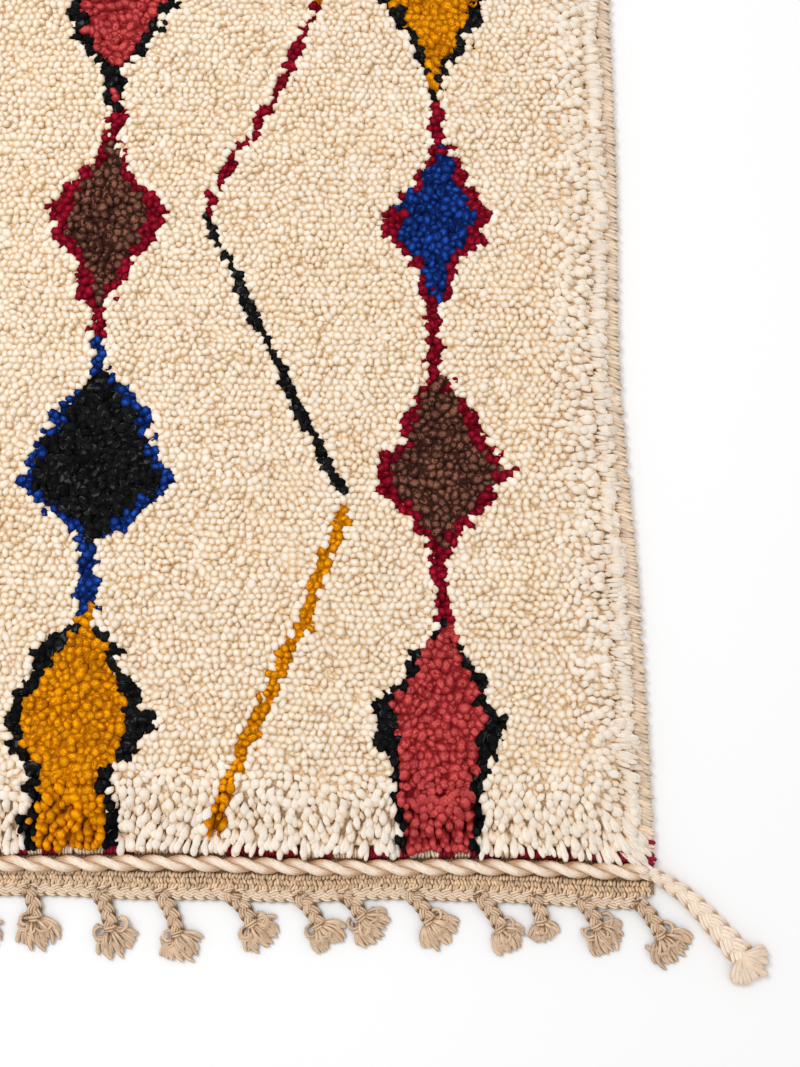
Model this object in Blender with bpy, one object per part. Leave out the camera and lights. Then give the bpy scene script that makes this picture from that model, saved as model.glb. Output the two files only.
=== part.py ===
"""A small hand-knotted Beni Ourain rug, lying flat on the floor.

The pile is one lumpy slab with locks at its rim. A wrapped selvedge runs down each side. Each end has a
flat-woven heading, a thick twisted cord laid over it, a plait along its edge and a row of plaited tassels,
and the twisted cord ends in a plaited tail at each corner. X runs across the rug, the near end is at -Y and
the floor is at Z = 0, all in metres.
"""

import math

import bmesh
import bpy
import numpy as np
from mathutils import Matrix, Vector, noise

RUG_NAME = "beni_ourain_rug"
NEAR, FAR = -1, 1
LEFT, RIGHT = -1, 1

# The whole rug.
WIDTH = 0.792
PILE_LENGTH = 1.404
CLEARANCE = 0.0003
CURVED_CLEARANCE = 0.0004

# How far hand weaving leaves each edge from a true rectangle.
SIDE_FLARE = {LEFT: 0.012, RIGHT: 0.0205}
FLARE_START = 0.15
FLARE_RUN = 0.50
SIDE_WAVE = 0.0012
SIDE_WAVE_LENGTH = 0.41
END_SLANT = {NEAR: 0.0135, FAR: 0.005}
END_WAVE = 0.0014
END_WAVE_LENGTH = 0.33

# Pile: its height, and the lumps of its surface, which are longer across the rug than along it.
PILE_HEIGHT = 0.020
PILE_CELLS_ACROSS = 20
PILE_CELLS_ALONG = 38
LUMP_HEIGHT = 0.0042
LUMP_ACROSS = 0.085
LUMP_ALONG = 0.038
REFINEMENTS = 3
ON_WALL = 0.999
RIM_DROP = 0.0028
SHOULDER_OUT = 0.0004
LOCK_ROOT_TOP = 0.0165
LOCK_ROOT_FOOT = 0.0120
LOCK_TAPER = 0.42
SIDE_LOCK_REACH = 0.0095
SIDE_LOCK_TIP = (0.0116, 0.0148)
END_LOCK_REACH = 0.0120
END_LOCK_TIP = (0.0076, 0.0122)

# Selvedge: the wrapped edge, seen in section, with a rib for each group of wraps.
SELVEDGE_WIDTH = 0.0200
SELVEDGE_HEIGHT = 0.0108
SELVEDGE_PAST_WALL = 0.0120
SELVEDGE_PROFILE = (
    # in from the outer edge and up, as shares of width and height, and the share of the draw between wraps
    (1.00, 0.00, 0.0),
    (0.12, 0.00, 1.0),
    (0.00, 0.45, 1.0),
    (0.38, 1.00, 0.0),
    (0.94, 0.90, 0.0),
)
WRAP_PITCH = 0.0160
WRAP_VALLEY = 0.84
WRAP_DRAW = 0.0016

# Heading: the flat-woven band that the pile ends on.
HEADING_DEPTH = 0.0445
HEADING_THICKNESS = 0.0045
HEADING_CELLS = 32
HEADING_INSET = 0.0030
HEADING_EDGE_SHARE = 0.9
HEADING_WANDERS = (
    # height, length, phase of a wave in the outer edge
    (0.0025, 0.40, 2.5),
    (0.0008, 0.17, 0.0),
)

# Twisted cord: two plies over the heading, flattened by their own weight.
CORD_FROM_WALL = 0.0225
CORD_WIDTH = 0.0180
CORD_HEIGHT = 0.0130
CORD_TURN = 0.0590
CORD_STEPS_PER_TURN = 6
CORD_INSET = 0.0020

# Edge plait: the warp ends twined along the heading's outer edge.
EDGE_PLAIT_WIDTH = 0.0135
EDGE_PLAIT_HEIGHT = 0.0092
EDGE_PLAIT_TURN = 0.0520
EDGE_PLAIT_STEPS_PER_TURN = 4
EDGE_PLAIT_INSET = 0.0100

# A twisted strand's section: how far out each corner is, as a share of the half width.
TWIST_SECTION = (1.0, 0.80, 0.80, 1.0, 0.80, 0.80)

# Tassels: a flat plait that ends in a tied head, with locks fanned out round it.
PLAIT_WIDTH = 0.0165
PLAIT_HEIGHT = 0.0105
PLAIT_LOBE = 0.0100
PLAIT_WAIST = 0.80
PLAIT_WAIST_HEIGHT = 0.86
PLAIT_TOP_SHARE = 0.8
PLAIT_SWAY = 0.0014
PLAIT_BEND_SHARE = 0.35
NECK_SHARE = 1.1
HEAD_SIDES = 8
HEAD_RADIUS = 0.0078
HEAD_HEIGHT = 0.0115
LOCK_SIDES_CARRYING = (-2, -1, 0, 1, 2)
LOCK_BEND = 0.62
LOCK_TIP_WIDTH = 0.0060
LOCK_TIP_HEIGHT = 0.0062
LOCK_SIDE_SHARE = 0.80

# One row for each near tassel: its root's place across the rug, the plait's length, its sweep to the right
# from straight out, and the reach of its locks.
NEAR_TASSELS = (
    # across, plait, sweep in degrees, lock reach
    (-0.381, 0.033, 24, 0.019),
    (-0.312, 0.037, 30, 0.020),
    (-0.2390, 0.026, 16, 0.021),
    (-0.1660, 0.036, 23, 0.020),
    (-0.1000, 0.040, 26, 0.019),
    (-0.0275, 0.034, 42, 0.019),
    (0.0435, 0.033, 41, 0.018),
    (0.0905, 0.026, 47, 0.019),
    (0.1605, 0.030, 40, 0.020),
    (0.2320, 0.036, 38, 0.016),
    (0.2885, 0.022, 20, 0.010),
    (0.3380, 0.027, 39, 0.019),
    (0.3980, 0.036, 39, 0.022),
)
FAR_SPREAD_SHARE = 0.93
FAR_SWEEP_SHARE = 0.7

# Cord tails, from the end of the twisted cord: steps out sideways, steps away from the rug, and heights.
TAIL_ROUTE = (
    # out, away, underside
    (0.000, 0.0000, 0.0055),
    (0.013, 0.0050, 0.0048),
    (0.027, 0.0140, 0.0002),
    (0.043, 0.0250, 0.0),
    (0.058, 0.0400, 0.0),
    (0.072, 0.0560, 0.0),
    (0.086, 0.0720, 0.0),
    (0.099, 0.0865, 0.0),
)
TAIL_GROWTH = 0.0060
TAIL_HEIGHT = 0.0120
TAIL_WAIST = 0.86
TAIL_WAIST_HEIGHT = 0.92
TAIL_LOCK_REACH = 0.019
TAIL_HEAD_RADIUS = 0.0100

# Wool colours, linear, and their roughness.
CREAM = (0.86, 0.74, 0.55)
CORD_CREAM = (0.83, 0.68, 0.48)
BEIGE = (0.55, 0.41, 0.27)
WOOL_ROUGHNESS = 0.92


def clamp(value, low, high):
    return max(low, min(high, value))


def ease(t):
    """A smooth rise from 0 to 1."""
    t = clamp(t, 0.0, 1.0)
    return t * t * (3 - 2 * t)


def mix(a, b, share):
    return a + (b - a) * share


def outer_edge(side, y):
    """X of a selvedge's outer edge. The rug flares towards its near end."""
    flare = SIDE_FLARE[side] * ease((-y - FLARE_START) / FLARE_RUN)
    wave = SIDE_WAVE * math.sin(math.tau * y / SIDE_WAVE_LENGTH + side)
    return side * (WIDTH / 2 + flare + wave)


def side_wall(side, y):
    """X of the pile's wall beside the selvedge."""
    return outer_edge(side, y) - side * (SELVEDGE_WIDTH + CURVED_CLEARANCE)


def end_wall(end, x):
    """Y of the pile's wall at one end, which is a little out of square."""
    wave = END_WAVE * math.sin(math.tau * x / END_WAVE_LENGTH)
    return end * (PILE_LENGTH / 2 + END_SLANT[end] * x + wave)


def new_object(bm, name, material):
    """Makes the finished bmesh an object of the rug, with its faces pointing out."""
    bmesh.ops.recalc_face_normals(bm, faces=bm.faces)
    mesh = bpy.data.meshes.new(name)
    bm.to_mesh(mesh)
    bm.free()
    mesh.materials.append(material)
    piece = bpy.data.objects.new(name, mesh)
    bpy.data.collections[RUG_NAME].objects.link(piece)
    piece.parent = bpy.data.objects[RUG_NAME + "_origin"]
    return piece


def wool(name, colour):
    material = bpy.data.materials.new(name)
    material.use_nodes = True
    shader = material.node_tree.nodes["Principled BSDF"]
    shader.inputs["Base Color"].default_value = (*colour, 1.0)
    shader.inputs["Roughness"].default_value = WOOL_ROUGHNESS
    shader.inputs["Metallic"].default_value = 0.0
    return material


def place_face(face, points):
    for vert, point in zip(face.verts, points):
        vert.co = point


def draw_out(bm, face, sections):
    """Extrudes one face of a closed body through a row of sections, and returns the last face."""
    for points in sections:
        face = bmesh.ops.extrude_discrete_faces(bm, faces=[face])["faces"][0]
        place_face(face, points)
    return face


def loft(bm, sections):
    """Makes a closed body through a row of sections with equally many corners."""
    first = bm.faces.new([bm.verts.new(point) for point in sections[0]])
    made = bmesh.ops.extrude_face_region(bm, geom=[first], use_keep_orig=True)["geom"]
    second = next(part for part in made if isinstance(part, bmesh.types.BMFace))
    place_face(second, sections[1])
    return draw_out(bm, second, sections[2:])


# ---------------------------------------------------------------- pile


def on_rug(u, v, height):
    """The real place of a point on the pile's plan, where u and v run from -1 to 1 between the walls.

    What u or v has beyond 1 is a distance past the wall, in metres."""
    inside_u = clamp(u, -1.0, 1.0)
    inside_v = clamp(v, -1.0, 1.0)
    y = inside_v * PILE_LENGTH / 2
    for _ in range(REFINEMENTS):
        x = mix(side_wall(LEFT, y), side_wall(RIGHT, y), (inside_u + 1) / 2)
        y = mix(end_wall(NEAR, x), end_wall(FAR, x), (inside_v + 1) / 2)
    return Vector((x + u - inside_u, y + v - inside_v, height))


def pile_surface(point):
    """Height of the pile's lumpy surface."""
    spot = Vector((point.x / LUMP_ACROSS, point.y / LUMP_ALONG, 0.0))
    return PILE_HEIGHT + LUMP_HEIGHT * noise.noise(spot)


def step_out(value, distance):
    """Moves a plan coordinate that lies on or past a wall further out by a distance."""
    if abs(value) < ON_WALL:
        return value
    return value + math.copysign(1.0, value) * distance


def add_rim_ring(bm, edges, outward, height):
    """Extrudes the pile's open rim outward on the plan and down to a height."""
    made = bmesh.ops.extrude_edge_only(bm, edges=edges)["geom"]
    for vert in (part for part in made if isinstance(part, bmesh.types.BMVert)):
        vert.co = Vector((step_out(vert.co.x, outward), step_out(vert.co.y, outward), height))
    new_edges = [
        part for part in made if isinstance(part, bmesh.types.BMEdge) and part.is_boundary
    ]
    new_faces = [part for part in made if isinstance(part, bmesh.types.BMFace)]
    return new_edges, new_faces


def pull_lock(face, centre, outward, reach, tip):
    """Shapes an extruded rim face into a lock's narrow tip, reach metres out from its root."""
    foot, top = tip
    across = Vector((-outward.y, outward.x, 0.0))
    for vert in face.verts:
        sideways = (vert.co - centre).dot(across) * LOCK_TAPER
        height = top if vert.co.z > centre.z else foot
        spot = centre + outward * reach + across * sideways
        vert.co = Vector((spot.x, spot.y, height))


def make_pile(material):
    bm = bmesh.new()
    bmesh.ops.create_grid(
        bm, x_segments=PILE_CELLS_ACROSS, y_segments=PILE_CELLS_ALONG, size=1.0
    )
    top_verts = set(bm.verts)
    rim = [edge for edge in bm.edges if edge.is_boundary]
    rim_verts = {vert for edge in rim for vert in edge.verts}
    rim, _ = add_rim_ring(bm, rim, SHOULDER_OUT, LOCK_ROOT_TOP)
    rim, lock_roots = add_rim_ring(bm, rim, 0.0, LOCK_ROOT_FOOT)
    rim, _ = add_rim_ring(bm, rim, -SHOULDER_OUT, 0.0)
    bmesh.ops.contextual_create(bm, geom=rim)
    for vert in bm.verts:
        vert.co = on_rug(*vert.co)
        if vert in top_verts:
            vert.co.z = pile_surface(vert.co) - (RIM_DROP if vert in rim_verts else 0.0)
    bmesh.ops.recalc_face_normals(bm, faces=bm.faces)
    bm.normal_update()
    roots = []
    for face in lock_roots:
        normal = face.normal.copy()
        roots.append((face.calc_center_median(), Vector((normal.x, normal.y, 0)).normalized()))
    tips = bmesh.ops.extrude_discrete_faces(bm, faces=lock_roots)["faces"]
    for face, (centre, outward) in zip(tips, roots):
        if abs(outward.x) > abs(outward.y):
            pull_lock(face, centre, outward, SIDE_LOCK_REACH, SIDE_LOCK_TIP)
        else:
            pull_lock(face, centre, outward, END_LOCK_REACH, END_LOCK_TIP)
    return new_object(bm, "pile_field", material)


# ---------------------------------------------------------------- selvedges


def selvedge_section(side, y, on_wrap):
    """The wrapped edge in section: flat below, square to the pile, and round outside."""
    height = SELVEDGE_HEIGHT * (1.0 if on_wrap else WRAP_VALLEY)
    points = []
    for inward, up, drawn in SELVEDGE_PROFILE:
        inset = SELVEDGE_WIDTH * inward + (0.0 if on_wrap else WRAP_DRAW * drawn)
        points.append(Vector((outer_edge(side, y) - side * inset, y, height * up)))
    return points


def selvedge_end(end, side):
    """Y where a selvedge stops, just past the pile."""
    return end_wall(end, side * WIDTH / 2) + end * SELVEDGE_PAST_WALL


def make_selvedge(side, name, material):
    start, finish = selvedge_end(NEAR, side), selvedge_end(FAR, side)
    wraps = round((finish - start) / WRAP_PITCH)
    sections = []
    for step in range(2 * wraps + 1):
        y = mix(start, finish, step / (2 * wraps))
        sections.append(selvedge_section(side, y, step % 2 == 1))
    bm = bmesh.new()
    loft(bm, sections)
    return new_object(bm, name, material)


# ---------------------------------------------------------------- headings


def heading_reach(end, side):
    """X where a heading ends on one side."""
    return outer_edge(side, end * PILE_LENGTH / 2) - side * HEADING_INSET


def heading_outer(end, x):
    """Y of the heading's outer edge, which wanders more than the pile's wall."""
    wander = sum(
        height * math.sin(math.tau * x / length + phase) for height, length, phase in HEADING_WANDERS
    )
    return end_wall(end, x) + end * (HEADING_DEPTH + wander)


def heading_stations(end):
    """Places across the heading, with a step where it passes from beside the pile to beside a selvedge.

    Each is an X and the Y of the heading's inner edge there."""
    left = side_wall(LEFT, selvedge_end(end, LEFT))
    right = side_wall(RIGHT, selvedge_end(end, RIGHT))
    past_left = selvedge_end(end, LEFT) + end * CLEARANCE
    past_right = selvedge_end(end, RIGHT) + end * CLEARANCE
    stations = [(heading_reach(end, LEFT), past_left), (left, past_left)]
    for step in range(HEADING_CELLS + 1):
        x = mix(left + CLEARANCE, right - CLEARANCE, step / HEADING_CELLS)
        stations.append((x, end_wall(end, x) + end * (CLEARANCE + SHOULDER_OUT)))
    return stations + [(right, past_right), (heading_reach(end, RIGHT), past_right)]


def make_heading(end, name, material):
    sections = []
    for x, inner in heading_stations(end):
        outer = heading_outer(end, x)
        sections.append(
            [
                Vector((x, inner, 0.0)),
                Vector((x, outer, 0.0)),
                Vector((x, outer, HEADING_THICKNESS * HEADING_EDGE_SHARE)),
                Vector((x, mix(inner, outer, 0.5), HEADING_THICKNESS)),
                Vector((x, inner, HEADING_THICKNESS)),
            ]
        )
    bm = bmesh.new()
    loft(bm, sections)
    return new_object(bm, name, material)


# ---------------------------------------------------------------- twisted strands


def turned_lobes(angle):
    """The corners of a twisted strand's section, turned by an angle, for a half width of 1."""
    corners = []
    for corner, share in enumerate(TWIST_SECTION):
        around = math.tau * corner / len(TWIST_SECTION) + angle
        corners.append((share * math.cos(around), share * math.sin(around)))
    return corners


def twisted_section(x, y, foot, width, height, angle):
    """A two-lobed section across a strand that runs along X, turned by an angle and resting at foot."""
    points = turned_lobes(angle)
    lowest = min(up for _, up in points)
    return [
        Vector((x, y + out * width / 2, foot + (up - lowest) * height / 2)) for out, up in points
    ]


def strand_stations(left, right, turn, steps):
    """The X and the turn of each of a twisted strand's sections."""
    count = round((right - left) / turn * steps)
    places = [mix(left, right, step / count) for step in range(count + 1)]
    return [(x, -math.tau * (x - left) / turn) for x in places]


def twisted_strand(name, material, left, right, line, foot, width, height, turn, steps):
    """A twisted strand from left to right that follows line, the Y for each X."""
    sections = []
    for x, angle in strand_stations(left, right, turn, steps):
        sections.append(twisted_section(x, line(x), foot, width, height, angle))
    bm = bmesh.new()
    loft(bm, sections)
    return new_object(bm, name, material)


def cord_line(end):
    return lambda x: end_wall(end, x) + end * CORD_FROM_WALL


def cord_reach(end, side):
    """X where a twisted cord passes into its tail."""
    return outer_edge(side, end * PILE_LENGTH / 2) - side * (CORD_INSET + SELVEDGE_WIDTH / 2)


def make_cord(end, name, material):
    return twisted_strand(
        name,
        material,
        cord_reach(end, LEFT),
        cord_reach(end, RIGHT),
        cord_line(end),
        HEADING_THICKNESS + CLEARANCE,
        CORD_WIDTH,
        CORD_HEIGHT,
        CORD_TURN,
        CORD_STEPS_PER_TURN,
    )


def edge_plait_line(end):
    gap = EDGE_PLAIT_WIDTH / 2 + CURVED_CLEARANCE
    return lambda x: heading_outer(end, x) + end * gap


def edge_plait_ends(end):
    return heading_reach(end, LEFT) + EDGE_PLAIT_INSET, heading_reach(end, RIGHT) - EDGE_PLAIT_INSET


def edge_plait_face(end, left, right):
    """How far out the edge plait's lobes reach between two places across the rug, as a distance along Y."""
    line = edge_plait_line(end)
    places, reaches = [], []
    for x, angle in strand_stations(*edge_plait_ends(end), EDGE_PLAIT_TURN, EDGE_PLAIT_STEPS_PER_TURN):
        lobe = max(out for out, _ in turned_lobes(angle))
        places.append(x)
        reaches.append(end * line(x) + lobe * EDGE_PLAIT_WIDTH / 2)
    between = [x for x in places if left < x < right]
    return max(np.interp([left, right] + between, places, reaches))


def make_edge_plait(end, name, material):
    return twisted_strand(
        name,
        material,
        *edge_plait_ends(end),
        edge_plait_line(end),
        0.0,
        EDGE_PLAIT_WIDTH,
        EDGE_PLAIT_HEIGHT,
        EDGE_PLAIT_TURN,
        EDGE_PLAIT_STEPS_PER_TURN,
    )


# ---------------------------------------------------------------- tassels and tails


def neck_width(radius):
    """Width of a plait where it meets one side of its head."""
    return 2 * radius * math.sin(math.pi / HEAD_SIDES) * NECK_SHARE


def head_of_tassel(bm, centre, forward, radius, height):
    """The tied head, a flat eight-sided disc on the floor, with its first side facing forward.

    Returns its sides by their place round the disc, counted from forward."""
    turn = Matrix.Rotation(math.atan2(forward.y, forward.x), 4, "Z")
    half_side = Matrix.Rotation(math.pi / HEAD_SIDES, 4, "Z")
    place = Matrix.Translation((centre.x, centre.y, height / 2)) @ turn @ half_side
    made = bmesh.ops.create_cone(
        bm,
        cap_ends=True,
        segments=HEAD_SIDES,
        radius1=radius,
        radius2=radius,
        depth=height,
        matrix=place,
    )
    sides = {}
    for face in {face for vert in made["verts"] for face in vert.link_faces}:
        face.normal_update()
        upright = abs(face.normal.z) < 0.5
        if upright:
            angle = math.atan2(forward.cross(face.normal).z, forward.dot(face.normal))
            sides[round(angle / (math.tau / HEAD_SIDES)) % HEAD_SIDES] = face
    return sides


def in_face_order(face, centre, forward, width, foot, height):
    """A section's four corners in the order of the face that is to be drawn out to them."""
    across = Vector((-forward.y, forward.x, 0.0))
    middle = face.calc_center_median()
    points = []
    for vert in face.verts:
        side = 1 if (vert.co - middle).dot(across) > 0 else -1
        top = vert.co.z > middle.z
        spot = centre + across * (side * width / 2 * (PLAIT_TOP_SHARE if top else 1.0))
        points.append(Vector((spot.x, spot.y, foot + (height if top else 0.0))))
    return points


def add_locks(bm, sides, centre, forward, radius, reach):
    """Draws a lock out of each of the head's forward sides. The side locks bend forward and are shorter."""
    for index in LOCK_SIDES_CARRYING:
        face = sides[index % HEAD_SIDES]
        angle = index * math.tau / HEAD_SIDES
        root = centre + Matrix.Rotation(angle, 3, "Z") @ forward * radius
        heading = Matrix.Rotation(angle * LOCK_BEND, 3, "Z") @ forward
        length = reach * (1.0 if index == 0 else mix(1.0, LOCK_SIDE_SHARE, abs(index) / 2))
        tip = root + heading * length
        points = in_face_order(face, tip, heading, LOCK_TIP_WIDTH, 0.0, LOCK_TIP_HEIGHT)
        draw_out(bm, face, [points])


def make_plaited_tassel(
    name, material, route, out_of, feet, widths, heights, radius, reach
):
    """A tassel along a route: its plait from the root, its head past the last point, and its locks.

    Its first section is square to out_of, the way it leaves what carries it."""
    bm = bmesh.new()
    forward = (route[-1] - route[-2]).normalized()
    centre = route[-1] + forward * radius
    centre.z = 0.0
    sides = head_of_tassel(bm, centre, forward, radius, HEAD_HEIGHT)
    add_locks(bm, sides, centre, forward, radius * math.cos(math.pi / HEAD_SIDES), reach)
    face = sides[HEAD_SIDES // 2]
    for step in range(len(route) - 1, -1, -1):
        ahead = route[min(step + 1, len(route) - 1)]
        behind = route[max(step - 1, 0)]
        along = (ahead - behind).normalized() if step else out_of
        points = in_face_order(face, route[step], along, widths[step], feet[step], heights[step])
        face = draw_out(bm, face, [points])
    return new_object(bm, name, material)


def make_tassel(end, name, material, across, length, sweep, reach):
    """A tassel that hangs from the edge plait and lies on the floor."""
    outward = Vector((0.0, end, 0.0))
    forward = Matrix.Rotation(math.radians(sweep), 3, "Z") @ outward
    half = PLAIT_WIDTH * PLAIT_WAIST / 2
    root_y = end * (edge_plait_face(end, across - half, across + half) + CLEARANCE)
    root = Vector((across, root_y, 0.0))
    square = Vector((-outward.y, outward.x, 0.0))
    lobes = max(2, round(length / PLAIT_LOBE))
    route, feet, widths, heights = [], [], [], []
    for step in range(lobes + 1):
        share = step / lobes
        bend = outward.lerp(forward, ease(share / PLAIT_BEND_SHARE)).normalized()
        sway = PLAIT_SWAY * (-1) ** step * (step > 0)
        route.append(root + bend * length * share + square * sway)
        full = step % 2 == 1
        feet.append(0.0)
        widths.append(PLAIT_WIDTH * (1.0 if full else PLAIT_WAIST))
        heights.append(PLAIT_HEIGHT * (1.0 if full else PLAIT_WAIST_HEIGHT))
    widths[-1] = neck_width(HEAD_RADIUS)
    return make_plaited_tassel(
        name, material, route, outward, feet, widths, heights, HEAD_RADIUS, reach
    )


def make_tail(end, side, name, material):
    """A cord's plaited tail, which comes down off the heading's corner to the floor."""
    start_x = cord_reach(end, side) + side * CLEARANCE
    start = Vector((start_x, cord_line(end)(start_x - side * CLEARANCE), 0.0))
    route, feet, widths, heights = [], [], [], []
    for step, (out, away, foot) in enumerate(TAIL_ROUTE):
        route.append(start + Vector((side * out, end * away, 0.0)))
        feet.append(foot)
        share = step / (len(TAIL_ROUTE) - 1)
        full = step % 2 == 1
        widths.append((PLAIT_WIDTH + TAIL_GROWTH * share) * (1.0 if full else TAIL_WAIST))
        heights.append(TAIL_HEIGHT * (1.0 if full else TAIL_WAIST_HEIGHT))
    widths[-1] = neck_width(TAIL_HEAD_RADIUS)
    sideways = Vector((side, 0.0, 0.0))
    return make_plaited_tassel(
        name, material, route, sideways, feet, widths, heights, TAIL_HEAD_RADIUS, TAIL_LOCK_REACH
    )


def make_end(end, word, beige, cord_cream):
    make_heading(end, "heading_" + word, beige)
    make_cord(end, "twisted_cord_" + word, cord_cream)
    make_edge_plait(end, "edge_plait_" + word, beige)
    make_tail(end, LEFT, "cord_tail_" + word + "_left", cord_cream)
    make_tail(end, RIGHT, "cord_tail_" + word + "_right", cord_cream)
    for number, (across, length, sweep, reach) in enumerate(NEAR_TASSELS, start=1):
        name = f"tassel_{word}_{number:02d}"
        if end == FAR:
            across, sweep = -across * FAR_SPREAD_SHARE, sweep * FAR_SWEEP_SHARE
        make_tassel(end, name, beige, across, length, sweep, reach)


def main():
    for old in list(bpy.data.objects):
        bpy.data.objects.remove(old)
    collection = bpy.data.collections.new(RUG_NAME)
    bpy.context.scene.collection.children.link(collection)
    collection.objects.link(bpy.data.objects.new(RUG_NAME + "_origin", None))
    cream = wool("cream_pile", CREAM)
    cord_cream = wool("cord_wool", CORD_CREAM)
    beige = wool("beige_wool", BEIGE)
    make_pile(cream)
    make_selvedge(LEFT, "selvedge_left", beige)
    make_selvedge(RIGHT, "selvedge_right", beige)
    make_end(NEAR, "near", beige, cord_cream)
    make_end(FAR, "far", beige, cord_cream)


main()
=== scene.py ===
# %% [markdown]
# # A Berber pile rug with two columns of diamonds
# The rug is hand knotted: thousands of short wool tufts stand on a woven ground,
# its two sides are wrapped with beige yarn, and its ends finish in a woven strip,
# a twisted cord, a plaited edge and a row of plaited tassels. The solid model
# already has the size of each of these. This lesson makes their yarn.

# %% Open the solid model
import math

import bmesh
import bpy
import numpy as np
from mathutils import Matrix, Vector, noise


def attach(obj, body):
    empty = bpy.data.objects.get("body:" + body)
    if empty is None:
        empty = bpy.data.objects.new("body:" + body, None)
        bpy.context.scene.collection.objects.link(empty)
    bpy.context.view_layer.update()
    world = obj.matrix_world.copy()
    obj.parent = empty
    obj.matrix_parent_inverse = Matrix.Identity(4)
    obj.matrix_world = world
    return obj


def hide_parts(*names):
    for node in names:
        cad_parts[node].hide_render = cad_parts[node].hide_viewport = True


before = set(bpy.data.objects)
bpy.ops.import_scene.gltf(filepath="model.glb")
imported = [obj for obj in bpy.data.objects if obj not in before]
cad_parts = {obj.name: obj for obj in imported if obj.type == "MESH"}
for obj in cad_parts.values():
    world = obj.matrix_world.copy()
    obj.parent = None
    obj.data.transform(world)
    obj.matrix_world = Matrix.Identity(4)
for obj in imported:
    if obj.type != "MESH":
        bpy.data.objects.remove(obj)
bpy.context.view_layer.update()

print("solid model:", len(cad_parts), "nodes")

# %% [markdown]
# The rug lies on a white studio floor and is seen from above its near half, with
# the camera leaning ten degrees forward. A camera in Blender looks down its own
# -Z, so that lean is a turn about X. One wide lamp stands high on the left, and a
# bright even sky does the rest, which keeps the shadows between tufts warm and
# shallow.

# %% Camera, lamp, sky and floor
scene = bpy.context.scene


def add_to_scene(thing):
    scene.collection.objects.link(thing)
    return thing


camera = add_to_scene(bpy.data.objects.new("studio_camera", bpy.data.cameras.new("studio_camera")))
camera.location = (0.148, -0.637, 1.511)
camera.rotation_euler = (math.radians(10), 0, 0)
camera.data.lens = 47.24
camera.data.clip_start = 0.05
scene.camera = camera

lamp = add_to_scene(bpy.data.objects.new("softbox", bpy.data.lights.new("softbox", "AREA")))
lamp.data.shape = "DISK"
lamp.data.size = 1.3
lamp.data.energy = 31
lamp.data.color = (1.0, 0.995, 0.985)
lamp.location = (-1.45, 0.55, 2.5)
lamp.rotation_euler = (Vector((0.1, -0.5, 0)) - lamp.location).to_track_quat("-Z", "Y").to_euler()

scene.world = bpy.data.worlds.new("studio_sky")
scene.world.use_nodes = True
sky = scene.world.node_tree.nodes["Background"]
sky.inputs["Color"].default_value = (1.0, 1.0, 1.0, 1)
sky.inputs["Strength"].default_value = 0.835
scene.view_settings.view_transform = "Standard"
scene.view_settings.look = "None"
print("camera", tuple(round(v, 3) for v in camera.location), "lens", camera.data.lens)

# %% [markdown]
# A finish is a tree of shader nodes. Two small classes keep the trees readable: a
# Wire is one output of a node and can be added to, multiplied and compared like a
# number, and a Finish makes any node from its type, its settings and what goes
# into its sockets. Colours go through Mix nodes, because a Math node would turn
# them grey.

# %% Wires and finishes


class Wire:
    """An output socket that sums can be written with."""

    def __init__(self, finish, socket):
        self.finish, self.socket = finish, socket

    def reckon(self, operation, *values):
        return self.finish.node("ShaderNodeMath", {"operation": operation}, values)

    def __add__(self, other):
        return self.reckon("ADD", self, other)

    def __sub__(self, other):
        return self.reckon("SUBTRACT", self, other)

    def __rsub__(self, other):
        return self.reckon("SUBTRACT", other, self)

    def __mul__(self, other):
        return self.reckon("MULTIPLY", self, other)

    __radd__, __rmul__ = __add__, __mul__

    def sine(self):
        return self.reckon("SINE", self)

    def size(self):
        return self.reckon("ABSOLUTE", self)

    def step(self, low, high):
        """0 below low and 1 above high, with a soft bend between."""
        return self.finish.node(
            "ShaderNodeMapRange",
            {"interpolation_type": "SMOOTHSTEP"},
            {"Value": self, "From Min": low, "From Max": high},
        )


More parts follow.
